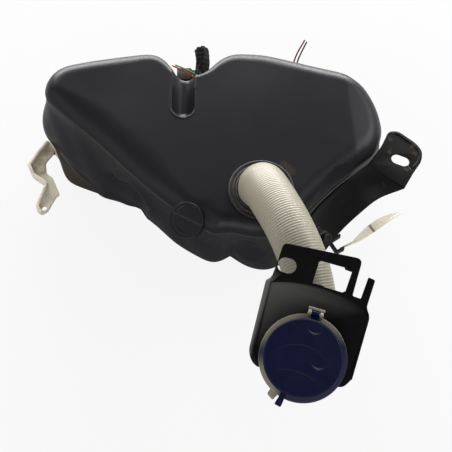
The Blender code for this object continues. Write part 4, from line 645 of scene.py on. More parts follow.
side = np.array(HEAD.inverted().to_3x3()) @ (outer[-1, 0] - outer[-1].mean(0))
lead = math.atan2(side[1], side[0])
FLANGE_LOW, PLATE_THICKNESS, MOUTH_TOP = -0.0028, 0.0034, 0.0100
seat = FLANGE_LOW - PLATE_THICKNESS + 0.0010 - 0.0006
head_profile = rounded_profile((
    (0.0231, -0.0180), (0.0232, -0.0150), (0.0229, seat - 0.0046), (0.0264, seat - 0.0030),
    (0.0265, seat - 0.0001), (0.0235, seat), (0.0235, FLANGE_LOW), (0.0338, FLANGE_LOW), (0.0340, -0.0024),
    (0.0340, -0.0004), (0.0336, 0.0), (0.0251, 0.0), (0.0250, 0.0055), (0.0272, 0.0075), (0.0270, 0.0084),
    (0.0258, 0.0099), (0.0206, MOUTH_TOP), (0.0203, 0.0096), (0.0203, -0.0180),
), 0.00025)
head_points, _ = turned(head_profile, NECK_SIDES, HEAD @ Matrix.Rotation(lead, 4, "Z"))
rings = np.concatenate([outer, head_points.reshape(-1, NECK_SIDES, 3), inner[::-1]])
neck_tube = (rings.reshape(-1, 3), looped_faces(len(rings), NECK_SIDES))


def slab(outline, low, high, matrix, edge=0.0005, holes=()):
    """A flat piece with holes: each loop's rings step in over a round edge, and the two faces are filled."""
    angles = np.linspace(0, np.pi / 2, 4)
    inset = edge * (1 - np.sin(angles))
    level = low + edge * (1 - np.cos(angles))
    inset = np.append(inset, inset[::-1])
    level = np.append(level, (high + low - level)[::-1])
    points, faces, ends, numbers = [], [], ([], []), ([], [])
    count = 0
    for loop, wanted in ((outline, 1), *((hole, -1) for hole in holes)):
        loop = np.asarray(loop, float)
        loop = loop[np.linalg.norm(loop - np.roll(loop, 1, 0), axis=1) > 1e-6]
        if np.sum(loop[:, 0] * np.roll(loop[:, 1], -1) - np.roll(loop[:, 0], -1) * loop[:, 1]) * wanted < 0:
            loop = loop[::-1]
        back = loop - np.roll(loop, 1, 0)
        ahead = np.roll(loop, -1, 0) - loop
        back /= np.linalg.norm(back, axis=1)[:, None]
        ahead /= np.linalg.norm(ahead, axis=1)[:, None]
        normal = np.stack([(back + ahead)[:, 1], -(back + ahead)[:, 0]], 1)
        normal /= np.maximum(np.linalg.norm(normal, axis=1), 1e-9)[:, None]
        mitre = normal / np.clip(normal[:, 0] * ahead[:, 1] - normal[:, 1] * ahead[:, 0], 0.5, 1)[:, None]
        rings = [at_height(loop - mitre * step, z) for step, z in zip(inset, level)]
        faces += [tuple(face) for face in grid_faces(len(rings), len(loop)) + count]
        for end, first in ((0, 0), (1, (len(rings) - 1) * len(loop))):
            ends[end].append([Vector(point) for point in rings[-end]])
            numbers[end].extend(range(count + first, count + first + len(loop)))
        points += rings
        count += len(rings) * len(loop)
    for loops, number in zip(ends, numbers):
        faces += [tuple(number[i] for i in face) for face in tessellate_polygon(loops)]
    return in_frame(np.vstack(points), matrix), faces


def soft_corners(outline, radius, steps=6):
    """A closed outline with each corner replaced by a curve that starts radius away from it."""
    outline = np.asarray(outline, float)
    reach = np.broadcast_to(radius, len(outline))
    t = np.linspace(0, 1, steps + 1)[:, None]
    curves = []
    for i, corner in enumerate(outline):
        back = outline[i - 1] - corner
        ahead = outline[(i + 1) % len(outline)] - corner
        start = corner + back * min(reach[i] / np.linalg.norm(back), 0.45)
        end = corner + ahead * min(reach[i] / np.linalg.norm(ahead), 0.45)
        curves.append(start * (1 - t) ** 2 + corner * 2 * t * (1 - t) + end * t**2)
    return np.vstack(curves)


def rectangle(low_x, low_y, high_x, high_y):
    """The four corners of a rectangle."""
    return [(low_x, low_y), (high_x, low_y), (high_x, high_y), (low_x, high_y)]


HINGE_Y, HINGE_Z = 0.0345, 0.0034
ears = []
for low, high in ((-0.0059, -0.0033), (0.0033, 0.0059)):
    turn = np.radians(np.linspace(0, 180, 19))
    crown = np.column_stack([HINGE_Y + 0.0027 * np.cos(turn), HINGE_Z + 0.0027 * np.sin(turn)])
    outline = np.vstack([crown, [(HINGE_Y - 0.0027, -0.0026), (HINGE_Y + 0.0027, -0.0026)]])
    upright = Matrix(((0, 0, 1, 0), (1, 0, 0, 0), (0, 1, 0, 0), (0, 0, 0, 1)))
    ears.append(slab(outline, low, high, HEAD @ upright, 0.0004))
crossbar = soft_corners(rectangle(-0.0066, HINGE_Y + 0.0031, 0.0066, HINGE_Y + 0.0050), 0.0006)
crossbar = slab(crossbar, -0.0024, 0.0040, HEAD, 0.0004)
lug = soft_corners([(0.030, -0.0040), (0.0382, -0.0034), (0.0392, 0.0030), (0.030, 0.0036)], 0.0016)
lug = slab(lug, -0.0026, -0.0002, HEAD @ Matrix.Rotation(math.radians(246), 4, "Z"), 0.0005)
neck = joined("ribbed_neck", [neck_tube, *ears, crossbar, lug])
neck.data.set_sharp_from_angle(angle=math.radians(50))
give_values(neck.data, "groove", np.repeat(groove * ribbed, NECK_SIDES))
place = np.array([vertex.co for vertex in neck.data.vertices])
place = in_frame(place, HEAD.inverted())
angle = np.degrees(np.arctan2(place[:, 1], place[:, 0]))
# Painted shade and reflection: the flange ring is tinted dark blue at its left and round its right side,
# standing for its shade and the blue cap reflected in it.
shaded = np.clip((60 - angle) / 25, 0, 1) * np.clip((angle + 112) / 15, 0, 1)
shaded = np.maximum(shaded, bell((angle % 360) - 188, 12))
shaded = shaded * (np.hypot(place[:, 0], place[:, 1]) > 0.0295) * (np.abs(place[:, 2] + 0.0014) < 0.002)
give_values(neck.data, "shaded", shaded)
natural = Finish("natural_polyethylene")
deep = natural.attribute("groove")
cloud = natural.noise(38.0, 3.0)
specks = natural.noise(520.0, 4.0, 0.6)
dirt_and_shade = natural.math("MULTIPLY", deep, specks)
dirt_and_shade = natural.ranged(dirt_and_shade, 0.42, 0.75, 0.0, 0.55)
pale = natural.blend(cloud, (0.335, 0.306, 0.236), (0.295, 0.264, 0.200))
tint = natural.blend(dirt_and_shade, pale, (0.22, 0.17, 0.11))
# The flange ring's painted shade and cap reflection: mixed towards a dark blue.
painted_shade = natural.attribute("shaded")
tint = natural.blend(painted_shade, tint, (0.016, 0.018, 0.055))
bump = natural.bump(specks, 0.10, 0.0004)
natural.wear({
    "Base Color": tint, "Normal": bump, "Roughness": 0.42, "Subsurface Weight": 0.15,
    "Subsurface Radius": (0.004, 0.003, 0.002),
})
neck.data.materials.append(natural.material)
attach(neck, "reservoir")
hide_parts("filler_neck")

# The hinge pin: a piece of plain steel wire with chamfered ends. It is pressed through the neck's ears, and
# the cap's knuckle turns on it.
steel = Finish("plain_steel")
streaks = steel.noise(1500.0, 3.0)
gloss = steel.ranged(streaks, 0.3, 0.7, 0.25, 0.5)
shade = steel.blend(streaks, (0.42, 0.41, 0.39), (0.58, 0.57, 0.55))
steel.wear({"Roughness": gloss, "Base Color": shade, "Metallic": 1.0})
along_x = Matrix.Translation((0, HINGE_Y, HINGE_Z)) @ Matrix.Rotation(math.radians(90), 4, "Y")
pin_profile = rounded_profile((
    (0.0001, -0.0062), (0.0012, -0.0062), (0.0014, -0.0060), (0.0014, 0.0060), (0.0012, 0.0062),
    (0.0001, 0.0062)), 0.0002)
pin = joined("cap_hinge_pin", [turned(pin_profile, 24, HEAD @ along_x)])
pin.data.materials.append(steel.material)
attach(pin, "reservoir")
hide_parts("hinge_pin")

# The cap: injection moulded in dark blue polypropylene, with a low rim, faint moulded arcs and two small
# nibs. A strap at the back carries the hinge knuckle, and a flared tab at the front lifts it. The rubber seal
# inside keeps its solid's shape.
CAP_RADIUS = 0.0300
CAP_LIFT = 0.0008
CAP_TOP = MOUTH_TOP + 0.0006 + 0.0014 + 0.0022
CAP_SIDES = 220
cap_turn = np.linspace(0, 2 * np.pi, CAP_SIDES, endpoint=False)


def cap_face(radius, turn):
    """Height of the cap's top: a flat disc with a shallow middle, a rim, moulded arcs and two nibs."""
    x, y = radius * np.cos(turn), radius * np.sin(turn)
    height = CAP_TOP - 0.0006 * np.clip(1 - (radius / 0.0262) ** 2, 0, 1) ** 0.5
    height += 0.0003 * bell(np.hypot(x, y + 0.020) - 0.030, 0.0005) * (radius < 0.024)
    height += 0.0003 * bell(np.hypot(x + 0.001, y + 0.052) - 0.042, 0.0005) * (radius < 0.020)
    nib = 0 * x
    for centre_x, centre_y in ((0.0027, 0.0208), (0.0124, -0.0035)):
        bow = np.hypot(x - centre_x, y - centre_y - 0.0062) - 0.0070
        nib += bell(bow, 0.00035) * bell(x - centre_x, 0.0022) * (y < centre_y + 0.003)
    return height + 0.0009 * nib, nib


disc = np.linspace(0.0003, CAP_RADIUS - 0.0018, 110)
rows = [np.stack([r * np.cos(cap_turn), r * np.sin(cap_turn), cap_face(r, cap_turn)[0]], -1) for r in disc]
edge = rounded_profile((
    (CAP_RADIUS - 0.0017, CAP_TOP), (CAP_RADIUS - 0.0006, CAP_TOP - 0.0005), (CAP_RADIUS, CAP_TOP - 0.0018),
    (CAP_RADIUS, CAP_LIFT + 0.0008), (CAP_RADIUS - 0.0004, CAP_LIFT), (CAP_RADIUS - 0.0018, CAP_LIFT),
    (CAP_RADIUS - 0.0022, CAP_LIFT + 0.0004), (CAP_RADIUS - 0.0022, CAP_TOP - 0.0026),
    (0.0004, CAP_TOP - 0.0024),
), 0.0003)
rows += [np.stack([r * np.cos(cap_turn), r * np.sin(cap_turn), z + 0 * cap_turn], -1) for r, z in edge]
shell = in_frame(np.array(rows), HEAD)
knuckle = rounded_profile((
    (0.0017, -0.0030), (0.0026, -0.0030), (0.0028, -0.0028), (0.0028, 0.0028), (0.0026, 0.0030),
    (0.0017, 0.0030)), 0.0002)
knuckle = turned(knuckle, 36, HEAD @ along_x, closed=True)
strap = soft_corners(rectangle(-0.0029, 0.0286, 0.0029, 0.0326), 0.0004)
strap = slab(strap, HINGE_Z - 0.0018, HINGE_Z + 0.0018, HEAD, 0.0003)
tab_side = ((0.0284, -0.0026), (0.0336, -0.0022), (0.0372, -0.0026), (0.0400, -0.0026))
tab_outline = soft_corners([*tab_side, *((x, -y) for x, y in tab_side[::-1])], 0.0009)
tab = slab(tab_outline, 0.0052, CAP_TOP - 0.0020, HEAD @ Matrix.Rotation(math.radians(258), 4, "Z"), 0.0006)
cap = joined("blue_cap", [(shell.reshape(-1, 3), grid_faces(len(rows), CAP_SIDES)), knuckle, strap, tab])
cap.data.set_sharp_from_angle(angle=math.radians(55))
# The nibs' mask, kept for their painted highlight.
give_values(cap.data, "nib", np.concatenate([cap_face(r, cap_turn)[1] for r in disc]))
blue = Finish("navy_polypropylene")
grain = blue.noise(1300.0, 2.0)
haze = blue.noise(90.0, 4.0, 0.6)
fade = blue.ranged(haze, 0.4, 0.75, 0.0, 0.35)
tint = blue.blend(fade, (0.0044, 0.0062, 0.030), (0.010, 0.013, 0.042))
# Painted highlight: the nibs' crests are coloured a light grey.
nib = blue.attribute("nib")
tint = blue.blend(nib, tint, (0.11, 0.11, 0.14))
gloss = blue.ranged(haze, 0.3, 0.7, 0.34, 0.5)
bump = blue.bump(grain, 0.12, 0.0003)
blue.wear({"Base Color": tint, "Roughness": gloss, "Normal": bump, "Specular IOR Level": 0.10})
cap.data.materials.append(blue.material)
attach(cap, "cap")
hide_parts("filler_cap")
seal_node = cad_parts["cap_seal"]
seal_node.data.materials.clear()
seal_node.data.materials.append(rubber.material)

# The bracket plate: black glass filled nylon, hooked round the head below its flange. Beyond a low round step
# its flap has a peg hole, a hook window and a thin prong; its left edge slopes down as a stiffening rim.
PLATE_TOP = FLANGE_LOW - 0.0003 + 0.0010
PLATE_LOW = PLATE_TOP - PLATE_THICKNESS
STEP_RADIUS, STEP_CENTRE = 0.1126, (-0.0025, -0.0574)
SLOT_HALF = 0.0241


def arc(radius, start, end, count, centre=(0, 0)):
    """Points of a circle's arc, from start to end in degrees."""
    turn = np.radians(np.linspace(start, end, count))
    return np.column_stack([centre[0] + radius * np.cos(turn), centre[1] + radius * np.sin(turn)])


def left_of(line):
    """Unit vectors to the left of a flat line, one for each of its points."""
    way = np.gradient(line, axis=0)
    way /= np.linalg.norm(way, axis=1)[:, None]
    return np.stack([-way[:, 1], way[:, 0]], 1)


def slot_loop(centre, length, width, angle=0.0, count=12):
    """Closed outline of a slot with round ends."""
    reach = (length - width) / 2
    ends = ((-90, 90, reach), (90, 270, -reach))
    loop = np.vstack([arc(width / 2, start, end, count, (middle, 0)) for start, end, middle in ends])
    c, s = math.cos(angle), math.sin(angle)
    return loop @ np.array(((c, s), (-s, c))) + np.array(centre)


FLAP = ((-0.0392, 0.0812, 0.004), (0.0228, 0.0862, 0.005), (0.0230, 0.0566, 0.0012), (0.0297, 0.0562, 0.0012),
        (0.0308, 0.0738, 0.0008), (0.0364, 0.0731, 0.0014), (0.0358, 0.0512, 0.002), (0.0402, 0.0445, 0.003))
LEFT_EDGE = ((-0.0405, 0.0500, 0.003), (-0.0398, 0.0640, 0.003))
slot = arc(SLOT_HALF, 0, 180, 40)
base_rows = np.vstack([
    FLAP, [(0.0400, -0.0045, 0.003), (0.0352, -0.0128, 0.004), (0.0262, -0.0134, 0.001)],
    [(SLOT_HALF, -0.0120, 0.0004)], at_height(slot, 0.0001), [(-SLOT_HALF, -0.0120, 0.0004)],
    [(-0.0262, -0.0128, 0.001), (-0.0345, -0.0120, 0.003), (-0.0372, -0.0060, 0.003)], LEFT_EDGE])
window = soft_corners([
    (-0.0090, 0.0573), (-0.0006, 0.0577), (0.0002, 0.0569), (0.0150, 0.0569), (0.0160, 0.0581),
    (0.0168, 0.0581), (0.0176, 0.0742), (0.0120, 0.0745), (0.0114, 0.0760), (-0.0076, 0.0758),
    (-0.0088, 0.0742)], 0.0005, 3)
plate_holes = [window, slot_loop((-0.0318, 0.0648), 0.0150, 0.0118)]
base_outline = soft_corners(base_rows[:, :2], base_rows[:, 2], 4)
base = slab(base_outline, PLATE_LOW, PLATE_TOP - 0.0010, HEAD, 0.0004, plate_holes)
step_line = arc(STEP_RADIUS, 70, 110, 30, STEP_CENTRE)
raised_rows = np.vstack([FLAP, at_height(step_line, 0.0001), LEFT_EDGE[1:]])
raised_outline = soft_corners(raised_rows[:, :2], raised_rows[:, 2], 4)
raised = slab(raised_outline, PLATE_TOP - 0.0014, PLATE_TOP, HEAD, 0.0004, plate_holes)
# The stiffening rim: its section, as reach and height, follows the left edge
RIM_SECTION = ((-0.0008, -0.0006), (0.0003, -0.0004), (0.0012, -0.0009), (0.0036, -0.0044), (0.0042, -0.0054),
               (0.0040, -0.0066), (0.0030, -0.0066), (0.0008, -0.0042), (-0.0008, -0.0034))
rim_path = soft_corners([(-0.0400, 0.0600), (-0.0404, 0.0500), (-0.0376, -0.0060), (-0.0330, -0.0122),
                         (-0.0262, -0.0128)], 0.004)[7:-7]
swell = np.clip(np.linspace(0, 6, len(rim_path)), 0.25, 1)[:, None]
right_of = -left_of(rim_path)
sections = [at_height(rim_path + right_of * reach * swell, PLATE_TOP + z) for reach, z in RIM_SECTION]
rim = capped_tube(in_frame(np.array(sections).transpose(1, 0, 2), HEAD))
right = soft_corners(rectangle(0.0382, -0.0050, 0.0402, 0.0415), 0.0006)
right = slab(right, PLATE_TOP - 0.0085, PLATE_TOP - 0.0008, HEAD, 0.0004)
plate = joined("bracket_plate", [base, raised, rim, right], merge=1e-6)
plate.data.set_sharp_from_angle(angle=math.radians(40))
place = in_frame(np.array([vertex.co for vertex in plate.data.vertices]), HEAD.inverted())
# Painted highlight: the sloping left rim is coloured a light grey for the light it catches.
rim_highlight = (place[:, 0] < -0.0396) * np.clip((0.062 - place[:, 1]) / 0.004, 0, 1)
give_values(plate.data, "dust", rim_highlight)
nylon = Finish("black_nylon")
grain = nylon.noise(1100.0, 3.0)
dust_and_highlight = nylon.noise(160.0, 6.0, 0.7)
cover = nylon.ranged(dust_and_highlight, 0.50, 0.72, 0.0, 0.30)
tint = nylon.blend(cover, (0.0032, 0.0032, 0.0036), (0.011, 0.010, 0.009))
# The left rim's painted highlight: mixed towards a light grey.
dust_and_highlight = nylon.attribute("dust")
film_and_highlight = nylon.math("MULTIPLY", dust_and_highlight, 0.8)
tint = nylon.blend(film_and_highlight, tint, (0.110, 0.108, 0.104))
bump = nylon.bump(grain, 0.2, 0.0004)
nylon.wear({"Base Color": tint, "Normal": bump, "Roughness": 0.5, "Specular IOR Level": 0.08})
plate.data.materials.append(nylon.material)
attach(plate, "reservoir")
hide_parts("neck_bracket")


# The steel bracket: one pressed sheet, painted black. A slotted tab bolts to the body, and the arm twists
# down from its bend to the tank's bosses. Rust has broken through the paint in spots.
STEEL = 0.0025
TAB_Z = TANK_HEIGHT - 0.0180
TAB_OUTLINE = ((0.1985, -0.0110), (0.2070, 0.0010), (0.2085, 0.0115), (0.2035, 0.0200), (0.1870, 0.0340),
               (0.1775, 0.0338), (0.1692, 0.0165), (0.1545, -0.0030), (0.1880, -0.0285))
TAB_CORNERS = (0.004, 0.004, 0.004, 0.004, 0.004, 0.004, 0.008, 0.0006, 0.0006)
ARM_UPPER = np.array(((0.1545, -0.0030, 0.0), (0.1388, -0.0153, 0.0), (0.1186, -0.0331, 0.0015),
                      (0.0990, -0.0550, 0.0030), (0.0905, -0.0780, 0.0060)))
ARM_LOWER = np.array(((0.1880, -0.0285, 0.0), (0.1660, -0.0320, 0.0130), (0.1475, -0.0430, 0.0240),
                      (0.1290, -0.0585, 0.0320), (0.1120, -0.0800, 0.0340)))
ARM_OUT = np.array((0.72, -0.54, 0.44))
BOLT_PLACES = ((0.88, 0.27), (0.88, 0.73))


def arm_surface(along, across):
    """The arm's middle surface: ruled between its two edges, and hollowed by 3 mm between them."""
    upper = ARM_UPPER * (1, 1, -1) + (0, 0, TAB_Z)
    lower = ARM_LOWER * (1, 1, -1) + (0, 0, TAB_Z)
    edges = []
    for edge in (upper, lower):
        fine = smooth_path(edge, 0.001)
        place = np.linspace(0, 1, len(fine))
        edges.append(np.stack([np.interp(along, place, fine[:, axis]) for axis in range(3)], -1))
    hollow = 0.003 * 4 * across * (1 - across) * np.minimum(along * 3, 1)
    return edges[0] + (edges[1] - edges[0]) * across[..., None] - ARM_OUT * hollow[..., None]


def arm_frame(along, across):
    """Frame on the arm's middle surface with +Z out of its face."""
    near_by = arm_surface(np.array((along + 0.05, along - 0.05, along, along, along)),
                          np.array((across, across, across + 0.05, across - 0.05, across)))
    out = Vector(np.cross(near_by[0] - near_by[1], near_by[2] - near_by[3])).normalized()
    return facing(near_by[4], out)


def thick_sheet(middle, thickness, edge=0.0004):
    """A closed sheet from a grid of its middle surface, moved both ways along its normals and closed by flat
    walls; edge is not used.
    """
    normal = np.cross(np.gradient(middle, axis=0), np.gradient(middle, axis=1))
    normal /= np.linalg.norm(normal, axis=-1)[..., None]
    rows, columns = middle.shape[:2]
    loop = [(i, 0) for i in range(rows)] + [(rows - 1, j) for j in range(1, columns)]
    loop += [(i, columns - 1) for i in range(rows - 2, -1, -1)] + [(0, j) for j in range(columns - 2, 0, -1)]
    loop = np.array([i * columns + j for i, j in loop])
    top = (middle + normal * thickness / 2).reshape(-1, 3)
    low = (middle - normal * thickness / 2).reshape(-1, 3)
    grid = grid_faces(rows, columns, False)
    count = rows * columns
    after = np.roll(loop, -1)
    wall = np.stack([loop, after, after + count, loop + count], 1)
    return np.vstack([top, low]), [tuple(face) for face in np.vstack([grid, grid[:, ::-1] + count, wall])]


share_along, share_across = np.meshgrid(np.linspace(0, 1, 90), np.linspace(0, 1, 28), indexing="ij")
arm_points = arm_surface(share_along, share_across)
bead_lift = 0.0004 * bell(share_across - 0.07, 0.02)
arm_points += ARM_OUT / np.linalg.norm(ARM_OUT) * bead_lift[..., None]
arm_sheet = thick_sheet(arm_points, STEEL)
slot_hole = slot_loop((0.1866, 0.0020), 0.0178, 0.0108, math.radians(-24))
slit = np.array(((0.1935, -0.0045), (0.1968, -0.0086)))
slit_side = np.array((0.78, 0.62)) * 0.0005
nearest = int(np.argmin(np.linalg.norm(slot_hole - slit[0], axis=1)))
slit_rows = [slot_hole[nearest] - slit_side, slit[1] - slit_side, slit[1] + slit_side,
             slot_hole[nearest] + slit_side]
slot_hole = np.vstack([slot_hole[:nearest], slit_rows, slot_hole[nearest + 1:]])
tab_sheet = soft_corners(TAB_OUTLINE, TAB_CORNERS)
tab_sheet = slab(tab_sheet, -STEEL / 2, STEEL / 2, Matrix.Translation((0, 0, TAB_Z)), 0.0004, [slot_hole])
border = smooth_path([(0.1962, -0.0085, 0), (0.2034, 0.0008, 0), (0.2052, 0.0108, 0), (0.2012, 0.0178, 0),
                      (0.1930, 0.0252, 0), (0.1858, 0.0313, 0), (0.1796, 0.0312, 0)], 0.0008)
swelling = 0.0013 * np.clip(np.minimum(np.arange(len(border)), np.arange(len(border))[::-1]) / 5, 0.05, 1)
band = carried(border + (0, 0, TAB_Z + STEEL / 2 - 0.0005), 14, swelling)
band = (band.reshape(-1, 3), grid_faces(len(border), 14))
bolt_pad = rounded_profile(((0.0034, -0.0024), (0.0078, -0.0024), (0.0084, -0.0018), (0.0084, 0.0018),
                            (0.0078, 0.0024), (0.0034, 0.0024)), 0.0004)
bolt_pads = [turned(bolt_pad, 48, arm_frame(*place), closed=True) for place in BOLT_PLACES]
steel_arm = joined("steel_arm", [arm_sheet, tab_sheet, band, *bolt_pads], merge=1e-6, fill_sides=20)
steel_arm.data.set_sharp_from_angle(angle=math.radians(40))

painted = Finish("rusting_black_paint")
orange_peel = painted.noise(700.0, 3.0)
blotch = painted.noise(120.0, 6.0, 0.7)
RUST_SPOTS = (
    (0.2003, 0.0170, 0.1012), (0.2015, 0.0095, 0.1012), (0.1920, -0.0060, 0.1012), (0.1835, -0.0010, 0.1012),
    (0.1770, 0.0120, 0.1012), (0.1790, 0.0260, 0.1012), (0.1650, -0.0305, 0.0880), (0.1480, -0.0425, 0.0765))
spots = painted.spots(RUST_SPOTS, 0.0024)
worn = painted.math("MULTIPLY", spots, 0.17)
worn = painted.math("ADD", worn, blotch)
rust = painted.ranged(worn, 0.64, 0.72, 0.0, 0.85)
film_and_highlight = painted.ranged(orange_peel, 0.35, 0.75, 0.0, 0.5)
dirty = painted.blend(film_and_highlight, (0.0062, 0.0066, 0.0070), (0.0120, 0.0104, 0.0078))
tint = painted.blend(rust, dirty, (0.062, 0.038, 0.025))
gloss = painted.ranged(rust, 0.0, 1.0, 0.40, 0.85)
bump = painted.bump(blotch, 0.3, 0.0005)
painted.wear({"Base Color": tint, "Roughness": gloss, "Normal": bump, "Specular IOR Level": 0.16})
steel_arm.data.materials.append(painted.material)
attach(steel_arm, "reservoir")
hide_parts("steel_bracket")

# The bracket's bolts: two blackened steel flange bolts, M6, screwed through the arm's pads into the tank's
# bosses. Their hexagon heads have a shallow cup on top.
oxide = Finish("black_oxide")
bloom = oxide.noise(420.0, 5.0, 0.6)
brown_rust = oxide.ranged(bloom, 0.45, 0.7, 0.0, 1.0)
tint = oxide.blend(brown_rust, (0.010, 0.010, 0.010), (0.020, 0.015, 0.011))
gloss = oxide.ranged(brown_rust, 0.0, 1.0, 0.38, 0.7)
oxide.wear({"Base Color": tint, "Roughness": gloss, "Specular IOR Level": 0.3})
seat = 0.0024 + 0.0003
flange = rounded_profile((
    (0.0001, -0.0124), (0.0026, -0.0124), (0.0030, -0.0118), (0.0030, seat), (0.0070, seat),
    (0.0072, seat + 0.0003), (0.0072, seat + 0.0009), (0.0056, seat + 0.0015), (0.0001, seat + 0.0015),
), 0.0003)
BOLT_HEAD = (
    (0.0056, seat + 0.0010), (0.0056, seat + 0.0050), (0.0054, seat + 0.0056), (0.0048, seat + 0.0059),
    (0.0040, seat + 0.0059), (0.0036, seat + 0.0052), (0.0002, seat + 0.0050))
BOLT_SIDES = 60
for name, place in zip(("bracket_bolt_upper", "bracket_bolt_lower"), BOLT_PLACES):
    bolt_place = arm_frame(*place)
    turn = np.linspace(0, 2 * np.pi, BOLT_SIDES, endpoint=False)
    six = 1 / np.cos((turn + np.pi / 6) % (np.pi / 3) - np.pi / 6) * math.cos(math.pi / 6)
    head_rows = []
    for reach, z in BOLT_HEAD:
        width = np.minimum(reach * six, 0.0057 if z < seat + 0.0051 else reach)
        head_rows.append(at_height(np.column_stack([width * np.cos(turn), width * np.sin(turn)]), z))
    head = in_frame(np.array(head_rows), bolt_place).reshape(-1, 3), grid_faces(len(BOLT_HEAD), BOLT_SIDES)
    bolt = joined("black_" + name, [turned(flange, 48, bolt_place), head])
    bolt.data.set_sharp_from_angle(angle=math.radians(32))
    bolt.data.materials.append(oxide.material)
    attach(bolt, "reservoir")
    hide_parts(name)

# The harness clip: a black plastic strip, bent round and held under the arm's lower edge. It carries a dab of
# green paint.
CLIP_ROUTE = ((0.1300, -0.0598), (0.1195, -0.0670), (0.1255, -0.0775), (0.1330, -0.0735))
CLIP_Z = TAB_Z - 0.0431


def ribbon(route, half):
    """Outline of a strip that reaches half its width to either side of a flat route."""
    side = left_of(route) * half
    return np.vstack([route + side, (route - side)[::-1]])


clip_line = rounded_profile(CLIP_ROUTE, 0.0011)
clip_strip = slab(ribbon(clip_line, 0.0009), CLIP_Z, CLIP_Z + 0.0085, Matrix(), 0.0004)
clip = joined("green_marked_clip", [clip_strip])
clip.data.set_sharp_from_angle(angle=math.radians(50))
marked = Finish("marked_black_plastic")
grain = marked.noise(900.0, 3.0)
dab = marked.spots(((0.1200, -0.0665, 0.0655),), 0.0012)
shade = marked.blend(grain, (0.005, 0.005, 0.0055), (0.012, 0.011, 0.010))
tint = marked.blend(dab, shade, (0.05, 0.22, 0.09))
marked.wear({"Base Color": tint, "Roughness": 0.5, "Specular IOR Level": 0.2})
clip.data.materials.append(marked.material)
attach(clip, "reservoir")
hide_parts("harness_clip")

# The strap tail: a flat, cut off end of a natural nylon strap, held in the clip. It twists like a leaf, and a
# crease crosses it where it was folded.
STRAP_ROUTE = np.array(((0.1291, -0.0735, 0.0388), (0.1338, -0.0710, 0.0390), (0.1440, -0.0655, 0.0394),
                        (0.1560, -0.0560, 0.0390), (0.1670, -0.0480, 0.0380), (0.1790, -0.0405, 0.0380),
                        (0.1915, -0.0350, 0.0385)))
strap_line = smooth_path(STRAP_ROUTE * (1, 1, -1) + (0, 0, TAB_Z), 0.0009)
knots = np.linspace(0, 1, 7)
share = np.linspace(0, 1, len(strap_line))
half_width = 0.5 * np.interp(share, knots, (0.0016, 0.0018, 0.0066, 0.0086, 0.0086, 0.0066, 0.0024))
twist = np.radians(np.interp(share, knots, (0, 0, 8, 14, 4, -10, -20)))
kernel = np.hanning(15) / np.hanning(15).sum()
half_width = np.convolve(np.pad(half_width, 7, "edge"), kernel, "valid")
twist = np.convolve(np.pad(twist, 7, "edge"), kernel, "valid")
forward = np.gradient(strap_line, axis=0)
forward /= np.linalg.norm(forward, axis=1)[:, None]
level_side = np.cross((0, 0, 1), forward)
level_side /= np.linalg.norm(level_side, axis=1)[:, None]
wide = level_side * np.cos(twist)[:, None] + np.cross(forward, level_side) * np.sin(twist)[:, None]
thin = np.cross(forward, wide)
STRAP_SIDES = 40
turn = np.linspace(0, 2 * np.pi, STRAP_SIDES, endpoint=False)
across = np.sign(np.cos(turn)) * np.abs(np.cos(turn)) ** 0.5
up = np.sign(np.sin(turn)) * np.abs(np.sin(turn)) ** 0.35
crease = 0.0004 * bell(share - 0.52, 0.012)
cupped = 0.0007 * (across**2 - 0.5) * np.clip(half_width / 0.003, 0, 1)[:, None] - crease[:, None]
strap_points = strap_line[:, None] + wide[:, None] * (half_width[:, None] * across)[..., None]
strap_points = strap_points + thin[:, None] * (0.00055 * up + cupped)[..., None]
strap_tail = joined("strap_tail", [capped_tube(strap_points)])
# Painted shade: a dark band across the crease, and the strap also darkens towards its end in the clip.
dirt_and_shade = bell(share - 0.52, 0.012) + 0.6 * bell(share - 0.05, 0.08)
give_values(strap_tail.data, "crease", np.repeat(dirt_and_shade, STRAP_SIDES))
nylon_white = Finish("yellowed_nylon")
smudge = nylon_white.noise(330.0, 5.0, 0.65)
folded = nylon_white.attribute("crease")
dirt_and_shade = nylon_white.ranged(smudge, 0.5, 0.75, 0.0, 0.45)
tint = nylon_white.blend(dirt_and_shade, (0.86, 0.81, 0.64), (0.40, 0.30, 0.18))
# The crease's painted shade and the darker clipped end.
tint = nylon_white.blend(folded, tint, (0.10, 0.075, 0.05))
nylon_white.wear({"Base Color": tint, "Roughness": 0.45})
strap_tail.data.materials.append(nylon_white.material)
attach(strap_tail, "reservoir")
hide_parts("tie_strap")

# The white arm: a zigzag strip of natural nylon with a raised border along its outer edge. Its foot is
# screwed to the tank's side boss by one blackened screw, and the small hole at its end takes a clip.
ARM_FLOOR_Z = 0.0330
ARM_OUTER = ((-0.1690, 0.0600), (-0.1865, 0.0310), (-0.1805, 0.0180), (-0.1665, 0.0080), (-0.1735, -0.0150),
             (-0.1725, -0.0215), (-0.1675, -0.0250))
ARM_INNER = ((-0.1600, 0.0475), (-0.1685, 0.0350), (-0.1665, 0.0225), (-0.1595, 0.0170), (-0.1510, -0.0020),
             (-0.1545, -0.0045), (-0.1620, -0.0215))
pad_out = Vector(BOSSES[0][1]).normalized()
pad_side = Vector((0, 0, 1)).cross(pad_out)
FOOT = Matrix.Translation(BOSSES[0][0]) @ Matrix((pad_side, (0, 0, 1), pad_out)).transposed().to_4x4()
arm_outline = soft_corners([*ARM_OUTER, *ARM_INNER[::-1]], 0.0024)
end_hole = arc(0.0026, 0, 342, 20, (-0.1655, -0.0175))
arm_floor = slab(arm_outline, 0, 0.0026, Matrix.Translation((0, 0, ARM_FLOOR_Z)), 0.0004, [end_hole])
edge_line = rounded_profile(ARM_OUTER, 0.0008)
BORDER_HALF = 0.0017
border_outline = ribbon(edge_line + left_of(edge_line) * BORDER_HALF, BORDER_HALF)
